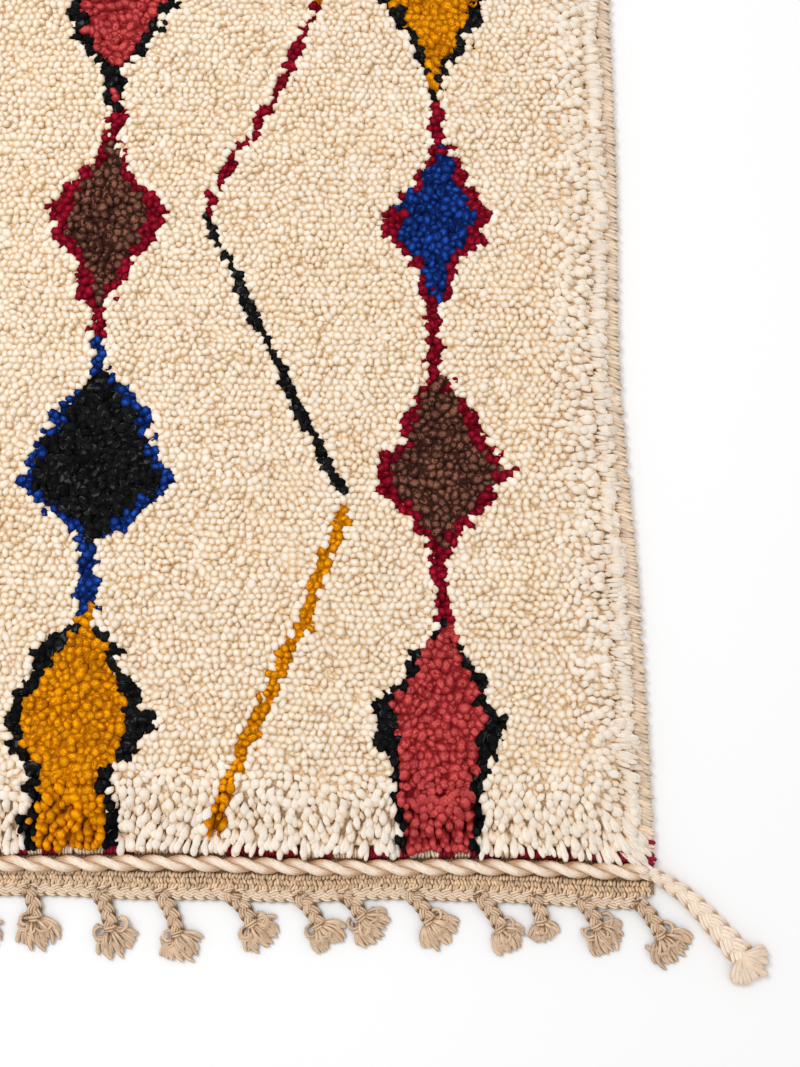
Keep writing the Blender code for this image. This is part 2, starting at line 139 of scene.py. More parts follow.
class Finish:
    """A material and the nodes that feed its shader."""

    def __init__(self, name, roughness, gloss=0.2):
        self.material = bpy.data.materials.new(name)
        self.material.use_nodes = True
        self.tree = self.material.node_tree
        self.shader = self.tree.nodes["Principled BSDF"]
        self.shader.inputs["Roughness"].default_value = roughness
        self.shader.inputs["Specular IOR Level"].default_value = gloss

    def node(self, kind, settings=None, inputs=None, output=0):
        made = self.tree.nodes.new(kind)
        for name, value in (settings or {}).items():
            setattr(made, name, value)
        pairs = inputs.items() if isinstance(inputs, dict) else enumerate(inputs or ())
        for name, value in pairs:
            self.plug(made.inputs[name], value)
        return Wire(self, made.outputs[output])

    def plug(self, socket, value):
        if isinstance(value, Wire):
            self.tree.links.new(value.socket, socket)
        elif isinstance(value, tuple) and len(value) == 3 and socket.type == "RGBA":
            socket.default_value = (*value, 1)
        else:
            socket.default_value = value

    def read(self, name):
        """A number that is stored on the mesh, point by point."""
        return self.node("ShaderNodeAttribute", {"attribute_name": name}, output="Fac")

    def place(self):
        return self.node("ShaderNodeTexCoord", output="Object")

    def mix(self, share, first, second, blend="MIX"):
        return self.node(
            "ShaderNodeMix",
            {"data_type": "RGBA", "blend_type": blend, "clamp_factor": True},
            {0: share, 6: first, 7: second},
            output=2,
        )

    def grain(self, scale, detail=2.0, swirl=0.0):
        return self.node(
            "ShaderNodeTexNoise",
            inputs={"Vector": self.place(), "Scale": scale, "Detail": detail, "Distortion": swirl},
        )

    def shaded(self, colour, shade):
        """The colour made darker or lighter by a number."""
        grey = self.node("ShaderNodeCombineColor", inputs=[shade, shade, shade])
        return self.mix(1.0, colour, grey, "MULTIPLY")

    def two_ways(self, vector):
        """The first two numbers of a vector."""
        return [self.node("ShaderNodeSeparateXYZ", inputs=[vector], output=k) for k in (0, 1)]

    def yarn_lines(self, lines, turns):
        """A wave round a strand, from 0 to 1, that winds about it as it goes along."""
        around, run = self.two_ways(self.node("ShaderNodeUVMap", {"uv_map": "yarn"}))
        return (around * (math.tau * lines) + run * (math.tau * turns)).sine() * 0.5 + 0.5

    def flank(self, low=0.42, high=0.96):
        """1 on the sides and underside of a strand that lies flat, and 0 on its top."""
        return 1 - self.yarn_lines(1, 0).step(low, high)

    def dress(self, colour, height=None, strength=0.4, distance=0.0004):
        """Joins the colour and the relief to the shader."""
        self.plug(self.shader.inputs["Base Color"], colour)
        if height is not None:
            bump = self.node(
                "ShaderNodeBump",
                inputs={"Strength": strength, "Distance": distance, "Height": height},
            )
            self.plug(self.shader.inputs["Normal"], bump)
        return self.material


print("finishes are made with", [n for n in dir(Finish) if not n.startswith("_")])

# %% [markdown]
# The floor is matt white board. It has only the faintest cloudiness, so that it
# reads as a surface and not as an empty background.

# %% The floor
FLOOR_SIDE = 14.0
board = Finish("white_board", 0.8)
cloud = board.grain(1.2).step(0.3, 0.7)
board.dress(board.mix(cloud, (0.945, 0.945, 0.948), (0.955, 0.955, 0.957)))
shape = bmesh.new()
bmesh.ops.create_grid(shape, x_segments=1, y_segments=1, size=FLOOR_SIDE / 2)
floor_mesh = bpy.data.meshes.new("studio_floor")
shape.to_mesh(floor_mesh)
shape.free()
floor_mesh.materials.append(board.material)
floor = add_to_scene(bpy.data.objects.new("studio_floor", floor_mesh))
print("floor", FLOOR_SIDE, "m square")

# %% [markdown]
# The rug isn't a true rectangle: its sides flare a little towards the near end,
# and its two ends run slightly askew, as on a rug from a hand loom. The solid
# model was drawn with the same rules, so the yarn follows it to the millimetre.
# They are written for whole arrays of points at once.

# %% The rug's outline
NEAR, FAR = -1, 1
LEFT, RIGHT = -1, 1
ENDS = ((NEAR, "near"), (FAR, "far"))
SIDES = ((LEFT, "left"), (RIGHT, "right"))
WIDTH = 0.792
PILE_LENGTH = 1.404
CLEARANCE = 0.0003
CURVED_CLEARANCE = 0.0004
SIDE_FLARE = {LEFT: 0.012, RIGHT: 0.0205}
FLARE_START, FLARE_RUN = 0.15, 0.50
SIDE_WAVE, SIDE_WAVE_LENGTH = 0.0012, 0.41
END_SLANT = {NEAR: 0.0135, FAR: 0.005}
END_WAVE, END_WAVE_LENGTH = 0.0014, 0.33
SELVEDGE_WIDTH, SELVEDGE_HEIGHT, SELVEDGE_PAST_WALL = 0.0200, 0.0108, 0.0120
REFINEMENTS = 3


def ease(share):
    share = np.clip(share, 0, 1)
    return share * share * (3 - 2 * share)


def mix(first, second, share):
    return first + (second - first) * share


def outer_edge(side, y):
    flare = SIDE_FLARE[side] * ease((-y - FLARE_START) / FLARE_RUN)
    wave = SIDE_WAVE * np.sin(math.tau * y / SIDE_WAVE_LENGTH + side)
    return side * (WIDTH / 2 + flare + wave)


def side_wall(side, y):
    return outer_edge(side, y) - side * (SELVEDGE_WIDTH + CURVED_CLEARANCE)


def end_wall(end, x):
    wave = END_WAVE * np.sin(math.tau * x / END_WAVE_LENGTH)
    return end * (PILE_LENGTH / 2 + END_SLANT[end] * x + wave)


def on_rug(u, v):
    """Where a share across and along, each from -1 to 1, lies in metres."""
    y = v * PILE_LENGTH / 2
    for _ in range(REFINEMENTS):
        x = mix(side_wall(LEFT, y), side_wall(RIGHT, y), (u + 1) / 2)
        y = mix(end_wall(NEAR, x), end_wall(FAR, x), (v + 1) / 2)
    return x, y


print("pile", round(float(side_wall(RIGHT, 0) - side_wall(LEFT, 0)), 4), "x", PILE_LENGTH, "m")

# %% [markdown]
# The weaver's pattern is charted here, the way it would be drawn on
# squared paper. Each diamond is a list of stations up the column: how far from
# the near end, and where the dark outline and the filling start and end across
# the rug. All of it is in millimetres. The knots then round it to their own rows,
# which gives the stepped edges of the real thing.

# %% The pattern chart
YARNS = ("cream", "charcoal", "crimson", "rose", "mustard", "brown", "blue")
CREAM, CHARCOAL, CRIMSON, ROSE, MUSTARD, BROWN, BLUE = range(len(YARNS))

# outline, filling, then rows of: along, outline from, to, filling from, to
DIAMONDS = (
    (CHARCOAL, MUSTARD, (
        (-40, -246, -151, -231, -162), (84, -248, -152, -235, -164), (98, -261, -134, -244, -152),
        (108, -267, -120, -250, -145), (118, -270, -106, -254, -142),
        (129, -271, -110, -255, -142), (137, -268, -122, -254, -142),
        (152, -262, -128, -249, -144), (172, -250, -141, -233, -151),
        (188, -243, -154, -222, -162), (202, -243, -152, -213, -168),
        (216, -229, -161, -206, -174), (229, -208, -176, -201, -179),
        (246, -196, -184, -196, -184),
    )),
    (BLUE, CHARCOAL, (
        (312, -195, -180, -188, -187), (324, -209, -170, -196, -179),
        (338, -216, -147, -201, -166), (364, -246, -118, -228, -135),
        (378, -258, -111, -250, -120), (386, -281, -92, -257, -113), (394, -264, -104, -254, -115),
        (415, -255, -113, -244, -124), (448, -243, -121, -228, -135),
        (466, -229, -135, -216, -148), (482, -212, -142, -202, -157),
        (508, -196, -168, -194, -174), (514, -190, -178, -186, -184),
    )),
    (CRIMSON, BROWN, (
        (582, -198, -182, -190, -187), (606, -217, -168, -194, -180),
        (630, -215, -150, -201, -165), (644, -222, -150, -208, -160),
        (658, -238, -136, -219, -150), (676, -242, -119, -226, -141),
        (692, -244, -121, -227, -140), (706, -258, -124, -225, -141),
        (718, -240, -132, -220, -146), (736, -214, -148, -200, -160),
        (756, -202, -160, -193, -170), (776, -196, -172, -188, -177),
        (790, -188, -178, -184, -182),
    )),
    (CHARCOAL, ROSE, (
        (824, -185, -170, -179, -178), (856, -190, -167, -180, -179),
        (880, -198, -163, -184, -176), (893, -214, -150, -198, -160),
        (908, -225, -139, -208, -152), (936, -229, -120, -216, -134),
        (972, -234, -108, -220, -122), (998, -243, -110, -228, -124),
        (1036, -222, -132, -207, -148), (1066, -196, -156, -188, -164),
        (1088, -183, -171, -178, -177),
    )),
    (CHARCOAL, MUSTARD, (
        (1158, -184, -172, -178, -177), (1190, -204, -150, -190, -163),
        (1224, -224, -128, -210, -143), (1256, -246, -108, -231, -121),
        (1274, -258, -98, -240, -114), (1298, -245, -110, -230, -124),
        (1320, -230, -124, -216, -138), (1450, -228, -124, -214, -139),
    )),
    (CHARCOAL, ROSE, (
        (-40, 141, 237, 151, 224), (50, 143, 238, 152, 225), (80, 145, 240, 154, 227),
        (98, 124, 251, 145, 231), (110, 116, 258, 141, 234), (120, 120, 263, 141, 235),
        (131, 122, 260, 141, 234), (142, 118, 248, 141, 231), (156, 134, 239, 147, 227),
        (172, 151, 233, 162, 221), (188, 154, 226, 168, 215), (202, 168, 216, 179, 209),
        (216, 182, 211, 187, 204), (231, 187, 203, 192, 197), (238, 190, 198, 194, 194),
    )),
    (CRIMSON, BROWN, (
        (312, 185, 201, 193, 195), (326, 174, 212, 188, 201), (343, 160, 230, 172, 216),
        (356, 150, 239, 163, 224), (367, 127, 253, 147, 236), (388, 126, 258, 141, 247),
        (396, 118, 274, 139, 253), (404, 126, 262, 142, 250), (430, 145, 251, 157, 233),
        (448, 150, 238, 161, 221), (476, 153, 222, 169, 208), (492, 168, 208, 180, 196),
        (506, 176, 196, 184, 188),
    )),
    (CRIMSON, BLUE, (
        (588, 174, 198, 185, 188), (612, 167, 204, 179, 197), (636, 163, 209, 173, 202),
        (650, 148, 226, 160, 213), (664, 137, 240, 151, 225), (682, 130, 241, 148, 227),
        (691, 116, 252, 146, 229), (703, 138, 244, 151, 228), (716, 148, 238, 157, 224),
        (732, 160, 226, 169, 215), (748, 174, 218, 181, 208), (768, 179, 211, 186, 199),
        (780, 182, 204, 188, 191),
    )),
    (CHARCOAL, MUSTARD, (
        (830, 182, 193, 187, 187), (860, 179, 196, 186, 188), (878, 170, 206, 180, 195),
        (896, 162, 222, 172, 208), (914, 153, 228, 162, 214), (928, 136, 239, 151, 222),
        (950, 130, 245, 146, 228), (974, 122, 258, 139, 241), (1002, 134, 246, 150, 231),
        (1040, 156, 226, 170, 211), (1072, 176, 205, 186, 196), (1090, 184, 196, 189, 191),
    )),
    (CHARCOAL, ROSE, (
        (1160, 184, 196, 189, 191), (1194, 168, 216, 178, 203), (1230, 146, 238, 159, 223),
        (1262, 126, 256, 140, 239), (1280, 116, 266, 135, 246), (1304, 132, 250, 146, 234),
        (1326, 142, 240, 155, 226), (1450, 142, 240, 155, 226),
    )),
)
# yarn, half width, then rows of: along, across
STEMS = (
    (BLUE, 11, ((238, -194), (262, -188), (318, -190))),
    (BLUE, 8, ((506, -186), (540, -188), (552, -187))),
    (CRIMSON, 7, ((552, -187), (590, -189))),
    (CRIMSON, 8, ((786, -179), (800, -176), (828, -177))),
    (CRIMSON, 8, ((1084, -177), (1166, -179))),
    (CRIMSON, 9, ((234, 194), (275, 190), (318, 189))),
    (CRIMSON, 8, ((500, 184), (545, 186), (594, 185))),
    (CRIMSON, 7, ((776, 192), (806, 190), (832, 190))),
    (CRIMSON, 8, ((1086, 190), (1168, 190))),
)
# yarn, half width, then rows of: along, across
ZIGZAG = (
    (MUSTARD, 10, ((18, -48), (34, -46))),
    (MUSTARD, 8, (
        (32, -43), (56, -36), (98, -18), (118, -9), (150, 6), (180, 21), (221, 41), (261, 55),
        (307, 67), (324, 80), (362, 88),
    )),
    (CHARCOAL, 7, ((372, 84), (398, 74), (462, 39))),
    (CHARCOAL, 5.5, (
        (462, 39), (496, 24), (546, 0), (576, -20), (592, -27), (608, -30), (640, -44), (696, -72),
    )),
    (CRIMSON, 6, (
        (692, -67), (722, -60), (756, -45), (776, -39), (786, -22), (812, -9), (845, 9), (878, 23),
        (896, 29), (914, 38), (950, 51),
    )),
    (MUSTARD, 7, ((954, 52), (1004, 76), (1062, 88), (1110, 66))),
    (MUSTARD, 7, ((1110, 66), (1180, 32), (1240, 4))),
    (CHARCOAL, 6, ((1244, 3), (1320, -34), (1364, -54))),
    (MUSTARD, 4, ((-6, -52), (2, -52))),
)
TOOTH_ROWS = 0.0142
TOOTH_REACH = 0.0046
KNOT_ROW = 0.0071
KNOT_REACH = 0.0040
FILLING_SHARE = 0.8
STEM_SWAY = 0.0022


def uneven(index, salt):
    """A number from -1 to 1 that is always the same for the same row and salt."""
    value = np.sin(index * 127.1 + salt * 311.7) * 43758.5453
    return 2 * (value - np.floor(value)) - 1


def yarn_at(x, along):
    """The yarn that the chart asks for, for points across and along in metres."""
    found = np.full(x.shape, CREAM)
    tooth, knot = np.floor(along / TOOTH_ROWS), np.floor(along / KNOT_ROW)
    for rank, (yarn, half, line) in enumerate((*STEMS, *ZIGZAG)):
        stations = np.array(line, float) / 1000
        middle = np.interp(along, stations[:, 0], stations[:, 1])
        sway = STEM_SWAY * uneven(tooth * 2 + rank, 7 + rank)
        on = (along >= stations[0, 0]) & (along < stations[-1, 0])
        found[on & (np.abs(x - middle - sway) < half / 1000)] = yarn
    for rank, (outline, filling, rows) in enumerate(DIAMONDS):
        stations = np.array(rows, float) / 1000
        on = (along >= stations[0, 0]) & (along < stations[-1, 0])
        edges = [np.interp(along, stations[:, 0], stations[:, k]) for k in range(1, 5)]
        left = TOOTH_REACH * uneven(tooth, 11 + rank) + KNOT_REACH * uneven(knot, 3 + rank)
        right = TOOTH_REACH * uneven(tooth, 47 + rank) + KNOT_REACH * uneven(knot, 29 + rank)
        found[on & (x > edges[0] + left) & (x < edges[1] + right)] = outline
        left, right = left * FILLING_SHARE, right * FILLING_SHARE
        found[on & (x > edges[2] + left) & (x < edges[3] + right)] = filling
    return found


print("chart:", len(DIAMONDS), "diamonds,", len(STEMS), "stems,", len(ZIGZAG), "runs of the zigzag")

# %% [markdown]
# Every yarn on the rug, from a cut tuft to a plaited strand, is a small closed
# tube that follows a line. One such tube is modelled with bmesh: a tuft starts
# as a ball with five or six sides and four bands, a strand as a cylinder that is
# cut into rings. The function lay then copies that one shape along thousands of
# lines at once, turning each ring square to its line.

# %% One tube, laid along many lines


class Tube:
    """The corners and faces of one small closed tube, sorted by ring."""

    def __init__(self, shape):
        bmesh.ops.recalc_face_normals(shape, faces=shape.faces)
        shape.verts.index_update()
        places = np.array([v.co for v in shape.verts])
        heights = np.unique(np.round(places[:, 2], 4))
        self.ring = np.searchsorted(heights, np.round(places[:, 2], 4))
        self.rings = len(heights)
        self.circle = places[:, :2] / np.maximum(np.hypot(*places[:, :2].T), 1e-6)[:, None]
        self.circle[np.hypot(*places[:, :2].T) < 1e-6] = 0
        faces = sorted(lowest_first([v.index for v in f.verts]) for f in shape.faces)
        self.corners = np.concatenate(faces)
        self.sizes = np.array([len(f) for f in faces])
        turn = np.arctan2(self.circle[:, 1], self.circle[:, 0]) / math.tau % 1
        self.around = np.concatenate([unwrap(turn[f]) for f in faces])
        self.triangles = int((self.sizes - 2).sum())
        shape.free()


def lowest_first(corners):
    """A face's corners from the lowest number on, so that every run lists them alike."""
    start = corners.index(min(corners))
    return corners[start:] + corners[:start]


def unwrap(turns):
    """Keeps a face that crosses the seam from running backwards round the tube."""
    return np.where(turns < turns.max() - 0.5, turns + 1, turns)


def tuft_tube(sides, bands):
    shape = bmesh.new()
    bmesh.ops.create_uvsphere(shape, u_segments=sides, v_segments=bands, radius=1)
    return Tube(shape)


def strand_tube(sides, rings):
    shape = bmesh.new()
    bmesh.ops.create_cone(
        shape, cap_ends=True, segments=sides, radius1=1, radius2=1, depth=2
    )
    upright = [e for e in shape.edges if abs(e.verts[0].co.z - e.verts[1].co.z) > 1]
    bmesh.ops.subdivide_edges(shape, edges=upright, cuts=rings - 2)
    return Tube(shape)


PER_CENTIMETRE = 100


def points(x, y, z):
    """Points from their three parts, each of which may be one number for all."""
    return np.stack(np.broadcast_arrays(x, y, z), axis=-1).astype(float)


def turned_left(heading):
    return points(-heading[..., 1], heading[..., 0], 0)


def unit(vectors):
    return vectors / np.maximum(np.linalg.norm(vectors, axis=-1, keepdims=True), 1e-9)


def lay(name, tube, lines, width, height, beside, finish, lowest=CLEARANCE, **notes):
    """Copies the tube along each line and returns the joined piece.

    lines holds, for each copy and ring, a point. width and height are the two
    half sizes there, and beside points to the side that width is measured on.
    Nothing goes below lowest, because soft yarn is pressed flat by what it lies on.
    notes are numbers for the finish to read, one for each copy or ring."""
    copies, rings = lines.shape[:2]
    heading = unit(np.gradient(lines, axis=1))
    beside = np.asarray(beside, float)
    beside = np.broadcast_to(beside if beside.ndim == 3 else beside.reshape(-1, 1, 3), lines.shape)
    up = unit(np.cross(heading, beside))
    side = np.cross(up, heading)
    width = np.broadcast_to(width, (copies, rings))[:, tube.ring, None]
    height = np.broadcast_to(height, (copies, rings))[:, tube.ring, None]
    places = (
        lines[:, tube.ring]
        + side[:, tube.ring] * width * tube.circle[:, 0, None]
        + up[:, tube.ring] * height * tube.circle[:, 1, None]
    ).reshape(-1, 3)
    places[:, 2] = np.maximum(places[:, 2], lowest)
    corners = (tube.corners + np.arange(copies)[:, None] * len(tube.ring)).ravel()
    sizes = np.tile(tube.sizes, copies)
    mesh = bpy.data.meshes.new(name)
    mesh.vertices.add(len(places))
    mesh.vertices.foreach_set("co", places.astype(np.float32).ravel())
    mesh.loops.add(len(corners))
    mesh.loops.foreach_set("vertex_index", corners.astype(np.int32))
    mesh.polygons.add(len(sizes))
    mesh.polygons.foreach_set("loop_start", (np.cumsum(sizes) - sizes).astype(np.int32))
    yarn_map = mesh.uv_layers.new(name="yarn")
    along = run_along(lines)[:, tube.ring[tube.corners]]
    around = np.broadcast_to(tube.around, along.shape)
    both = np.stack([around, along * PER_CENTIMETRE], axis=-1)
    yarn_map.data.foreach_set("uv", both.astype(np.float32).ravel())
    for note, values in notes.items():
        values = np.asarray(values, float).reshape(copies, -1)
        values = np.broadcast_to(values, (copies, rings))[:, tube.ring]
        store = mesh.attributes.new(note, "FLOAT", "POINT")
        store.data.foreach_set("value", values.astype(np.float32).ravel())
    mesh.update(calc_edges=True)
    mesh.validate()
    mesh.shade_smooth()
    mesh.materials.append(finish)
    piece = add_to_scene(bpy.data.objects.new(name, mesh))
    print(name, copies, "copies,", copies * tube.triangles, "triangles")
    return piece


def run_along(lines):
    """How far along its line each point is."""
    steps = np.linalg.norm(np.diff(lines, axis=-2), axis=-1)
    return np.concatenate([np.zeros(steps.shape[:-1] + (1,)), steps.cumsum(axis=-1)], axis=-1)


def level_side(lines):
    """The level way to the left of each line, for strands that lie flat."""
    return turned_left(unit(np.gradient(lines, axis=1) * np.array([1, 1, 0])))


def dressed(piece, slot, *nodes):
    """The piece moves with the rug and stands for these nodes. Its slot is not used."""
    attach(piece, "root")
    if nodes:
        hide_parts(*nodes)
    return piece


def spun_piece(name, slot, nodes, tube, lines, width, height, finish, **notes):
    """Lays strands that lie flat, each in its own tint, and dresses the piece."""
    tints = chance.uniform(0, 1, len(lines))
    piece = lay(name, tube, lines, width, height, level_side(lines), finish, tint=tints, **notes)
    return dressed(piece, slot, *nodes)


# %% [markdown]
# A tuft is a few turns of soft wool, knotted at its foot and cut at its tip. Cut
# wool swells, so the tips touch and press each other into rounded cells, and the
# light that falls between them comes back warm. The finish paints that light and
# shade in: it is palest at the tip, and goes through tan to a deeper tone at the
# foot, which is painted warm shade between the cells. Each tuft differs a little
# from the next, and broad patches of the field are warmer or whiter, because the
# wool isn't dyed. The dyed wool is springier and curls, which shows as fine
# creases with painted shade in them, and as painted glints on the charcoal.

# %% The finish of the tufts
FIBRE_GRAIN = 900
SHADE_PATCH = 9
WARM_PATCH = (0.99, 0.945, 0.875)
# The pale tones run from painted warm shade low on a tuft to its pale tip, and the seam shade is tan painted
# shade where lying tufts meet.
PALE_TONES = ((0.90, 0.70, 0.485), (0.965, 0.885, 0.795))
SEAM_SHADE = (0.84, 0.620, 0.39)


def undyed(wool, colour, rise, tint, lying, lines):
    """Broad patches, paler tips at the rims with painted warm shade low on them, and tan painted shade where
    lying tufts meet.
    """
    patch = wool.grain(SHADE_PATCH, 3).step(0.42, 0.68)
    colour = wool.mix(patch * 0.5 + tint * 0.3, colour, WARM_PATCH, "MULTIPLY")
    colour = wool.mix(wool.read("pale"), colour, wool.mix(rise.step(0.88, 0.97), *PALE_TONES))
    # Painted shade on the sides of lying tufts and along their fine lines.
    seam_shade = wool.flank(0.28, 0.84) * 0.80 + (1 - lines.step(0.0, 0.5)) * 0.12
    return wool.mix(lying * seam_shade, colour, SEAM_SHADE)


def curled(wool, colour, shoulder, lying, painted_curl_shading, crease_width, curls):
    """Fine creases where springy wool curls, painted in the given curl colour, which is painted shade on most
    yarns and painted glints on charcoal, and painted shade on the sides of lying tufts.
    """
    curl = (wool.grain(curls, 1, 1.6) - 0.5).size().step(0.0, crease_width)
    plain = wool.grain(170).step(0.44, 0.52) + lying.step(0.25, 0.55)
    curl = curl * (wool.yarn_lines(1, 3).step(-0.02, 0.24) + plain).step(0.0, 1.0)
    colour = wool.mix(curl + lying * 0.35, painted_curl_shading, colour)
    return wool.mix(lying * wool.flank(0.34, 0.90), colour, shoulder), curl


def tuft_finish(
    name, foot, shoulder, tip, spread, gloss=0.05, crown=(0.948, 0.990),
    painted_curl_shading=None, crease_width=0.055, curls=210,
):
    """Foot, shoulder and tip are the colours up a tuft, from painted shade at the foot to the lit tip, and
    spread how far tufts differ.
    """
    wool = Finish(name, 0.9, gloss)
    rise, tint, lying = (wool.read(note) for note in ("rise", "tint", "lies"))
    # Painted shade: the colour runs from foot through shoulder to tip as the rise note grows.
    body = wool.mix(rise.step(0.60, 0.90), foot, shoulder)
    colour = wool.mix(rise.step(*crown), body, tip)
    lines = wool.yarn_lines(4, 0.3)
    relief = wool.grain(FIBRE_GRAIN, 3) * 0.6 + lines * 0.4
    if painted_curl_shading is None:
        colour = undyed(wool, colour, rise, tint, lying, lines)
    else:
        colour, curl = curled(wool, colour, shoulder, lying, painted_curl_shading, crease_width, curls)
        relief = relief * 0.5 + curl
    colour = wool.shaded(colour, 1 - spread + tint * (2 * spread))
    return wool.dress(colour, relief, 0.5, 0.0006)


TUFT_FINISH = {
    CREAM: tuft_finish(
        "cream_wool", (0.70, 0.49, 0.29), (0.77, 0.565, 0.35), (0.910, 0.830, 0.735), 0.045,
        gloss=0.2, crown=(0.937, 0.984),
    ),
    # Charcoal's curl colour is paler than its wool: painted glints along the curls.
    CHARCOAL: tuft_finish(
        "charcoal_wool", (0.0012, 0.0012, 0.0014), (0.003, 0.003, 0.0034), (0.0068, 0.007, 0.0075), 0.5,
        painted_curl_shading=(0.042, 0.043, 0.045), crease_width=0.016, curls=340,
    ),
    CRIMSON: tuft_finish(
        "crimson_wool", (0.08, 0.001, 0.006), (0.18, 0.002, 0.011), (0.40, 0.008, 0.032), 0.25,
        painted_curl_shading=(0.09, 0.001, 0.006),
    ),
    ROSE: tuft_finish(
        "rose_wool", (0.22, 0.012, 0.016), (0.34, 0.022, 0.026), (0.645, 0.093, 0.088), 0.14,
        painted_curl_shading=(0.26, 0.016, 0.018), crown=(0.938, 0.976),
    ),
    MUSTARD: tuft_finish(
        "mustard_wool", (0.34, 0.11, 0.001), (0.52, 0.165, 0.001), (0.94, 0.365, 0.002), 0.14,
        painted_curl_shading=(0.40, 0.12, 0.001), crown=(0.940, 0.980),
    ),
    BROWN: tuft_finish(
        "brown_wool", (0.020, 0.007, 0.005), (0.056, 0.020, 0.013), (0.250, 0.098, 0.064), 0.25,
        painted_curl_shading=(0.028, 0.010, 0.006), crown=(0.940, 0.980),
    ),
    BLUE: tuft_finish(
        "blue_wool", (0.002, 0.008, 0.05), (0.004, 0.018, 0.12), (0.014, 0.078, 0.44), 0.28,
        painted_curl_shading=(0.003, 0.012, 0.07),
    ),
}
print("tuft finishes:", len(TUFT_FINISH))

# %% [markdown]
# The knots are tied in rows, seven and a half millimetres apart both ways, and each
# row is offset from the last. Nothing on the loom is exact, so each knot is moved
# a little and each tuft gets its own lean, girth and length from a seeded
# generator, which gives the same rug every time. Blender's own noise is seeded
# too, because its noise vectors would otherwise start from the clock. Tufts lean together in drifts,
# they fall outwards more and more towards the edges of the rug, and where two
# colours meet they stray over each other.

# %% Tie the knots
KNOT_PITCH = 0.0075
KNOT_WANDER = 0.30
ROW_OFFSET = 0.9
TUFT_GIRTH = 0.0061
PILE_HEIGHT = 0.020
LUMP_HEIGHT, LUMP_ACROSS, LUMP_ALONG = 0.0042, 0.085, 0.038
DRIFT_ACROSS, DRIFT_ALONG = 0.055, 0.040
GROUND_TOP = 0.0026


def lump(x, y):
    return noise.noise(Vector((x / LUMP_ACROSS, y / LUMP_ALONG, 0)))


def drifting(x, y):
    return noise.noise_vector(Vector((x / DRIFT_ACROSS, y / DRIFT_ALONG, 3)))


chance = np.random.default_rng(41)
noise.seed_set(41)
rows = round(PILE_LENGTH / KNOT_PITCH)
row_knots = round((WIDTH - 2 * SELVEDGE_WIDTH) / KNOT_PITCH)
row, column = np.meshgrid(np.arange(rows), np.arange(row_knots), indexing="ij")
row, column = row.ravel(), column.ravel()
count = row.size
offset = (row % 2 - 0.5) * ROW_OFFSET
across = -1 + (2 * column + 1 + offset + chance.uniform(-2, 2, count) * KNOT_WANDER) / row_knots
away = -1 + (2 * row + 1 + chance.uniform(-2, 2, count) * KNOT_WANDER) / rows
foot_x, foot_y = on_rug(np.clip(across, -0.999, 0.999), np.clip(away, -0.999, 0.999))
charted_y = foot_y + PILE_LENGTH / 2
yarn = yarn_at(foot_x, charted_y)
dyed = yarn != CREAM
drift = np.array([drifting(x, y) for x, y in zip(foot_x, foot_y)])
lumps = np.array([lump(x, y) for x, y in zip(foot_x, foot_y)])
print(count, "knots in", rows, "rows")

# %% Which tufts stand where two colours meet
STEP = 0.008
meets_dark = np.zeros(count)
outward = np.zeros((count, 2))
for dx, dy in ((STEP, 0), (-STEP, 0), (0, STEP), (0, -STEP)):
    beyond = yarn_at(foot_x + dx, charted_y + dy)
    meets_dark = np.maximum(meets_dark, (yarn == CREAM) & (beyond != CREAM))
    outward += np.outer((yarn != CREAM) & (beyond == CREAM), (dx, dy))
outline = np.any(outward != 0, axis=1)
outward = unit(outward)
behind = yarn_at(foot_x - 2 * STEP * outward[:, 0], charted_y - 2 * STEP * outward[:, 1])
may_stray = outline & (behind != CREAM)
print(int(outline.sum()), "tufts on an outline,", int(meets_dark.sum()), "cream ones beside them")

# %% How far each tuft falls
END_FALL = (0.0180, 0.092, 0.0110)
SIDE_FALL = (0.0160, 0.072, 0.0015)
CROWD = 0.95
DYED_FALL_SHARE = 0.65
FALL_SKEW = 0.30
RAG = (-0.10, 0.28)
LIES_AT = 0.013
CORNER_REACH, CORNER_LEAN, CORNER_GROWTH = 0.022, 0.017, 0.019
TUCK, TUCK_REACH = 0.0030, 0.010


def fall(inside, full, reach, at_wall):
    """How far tufts fall outwards when they stand this far inside an edge. Those
    at the very edge have the binding beside them and can't fall as far."""
    return np.minimum(full * ease(1 - inside / reach), at_wall + CROWD * inside)


left_in, right_in = foot_x - side_wall(LEFT, foot_y), side_wall(RIGHT, foot_y) - foot_x
near_in, far_in = foot_y - end_wall(NEAR, foot_x), end_wall(FAR, foot_x) - foot_y
side_in, end_in = np.minimum(left_in, right_in), np.minimum(near_in, far_in)
edge_in = np.minimum(side_in, end_in)
outwards = np.where(dyed, DYED_FALL_SHARE, 1)
rag = chance.uniform(*RAG, count)
to_right, to_left = (outwards * fall(inside, *SIDE_FALL) for inside in (right_in, left_in))
to_near, to_far = (outwards * fall(inside, *END_FALL) for inside in (near_in, far_in))
tuck = TUCK * (np.exp(-right_in / TUCK_REACH) - np.exp(-left_in / TUCK_REACH))
lies = np.clip(np.hypot(to_right - to_left + tuck, to_far - to_near) / LIES_AT, 0, 1)
corner = np.exp(-(side_in + end_in) / CORNER_REACH)
fall_x = (to_right - to_left) * (1 + rag * lies) + CORNER_LEAN * corner * np.sign(foot_x)
fall_y = (to_far - to_near) * (1 + rag * lies) + CORNER_LEAN * corner * np.sign(foot_y)
fall_y -= FALL_SKEW * (to_left + to_right)
print(int((lies > 0.5).sum()), "tufts have fallen")

# %% Which way each tuft leans
DRIFT_LEAN, DRIFT_LEAN_AT_ENDS, DRIFT_LEAN_ALONG = 0.0046, 0.0070, 0.0036
STRAY, STRAY_BESIDE_DARK, STRAY_DYED, STRAY_FAR = 0.0013, 0.0008, 0.0012, 0.0048
SHORT_SHARE, SHORT_EVERY_OTHER, SHORT_SHARE_DYED = 0.12, 0.90, 0.30
ROW_DEEP = 0.0073
UNDER_UPRIGHT = 0.46

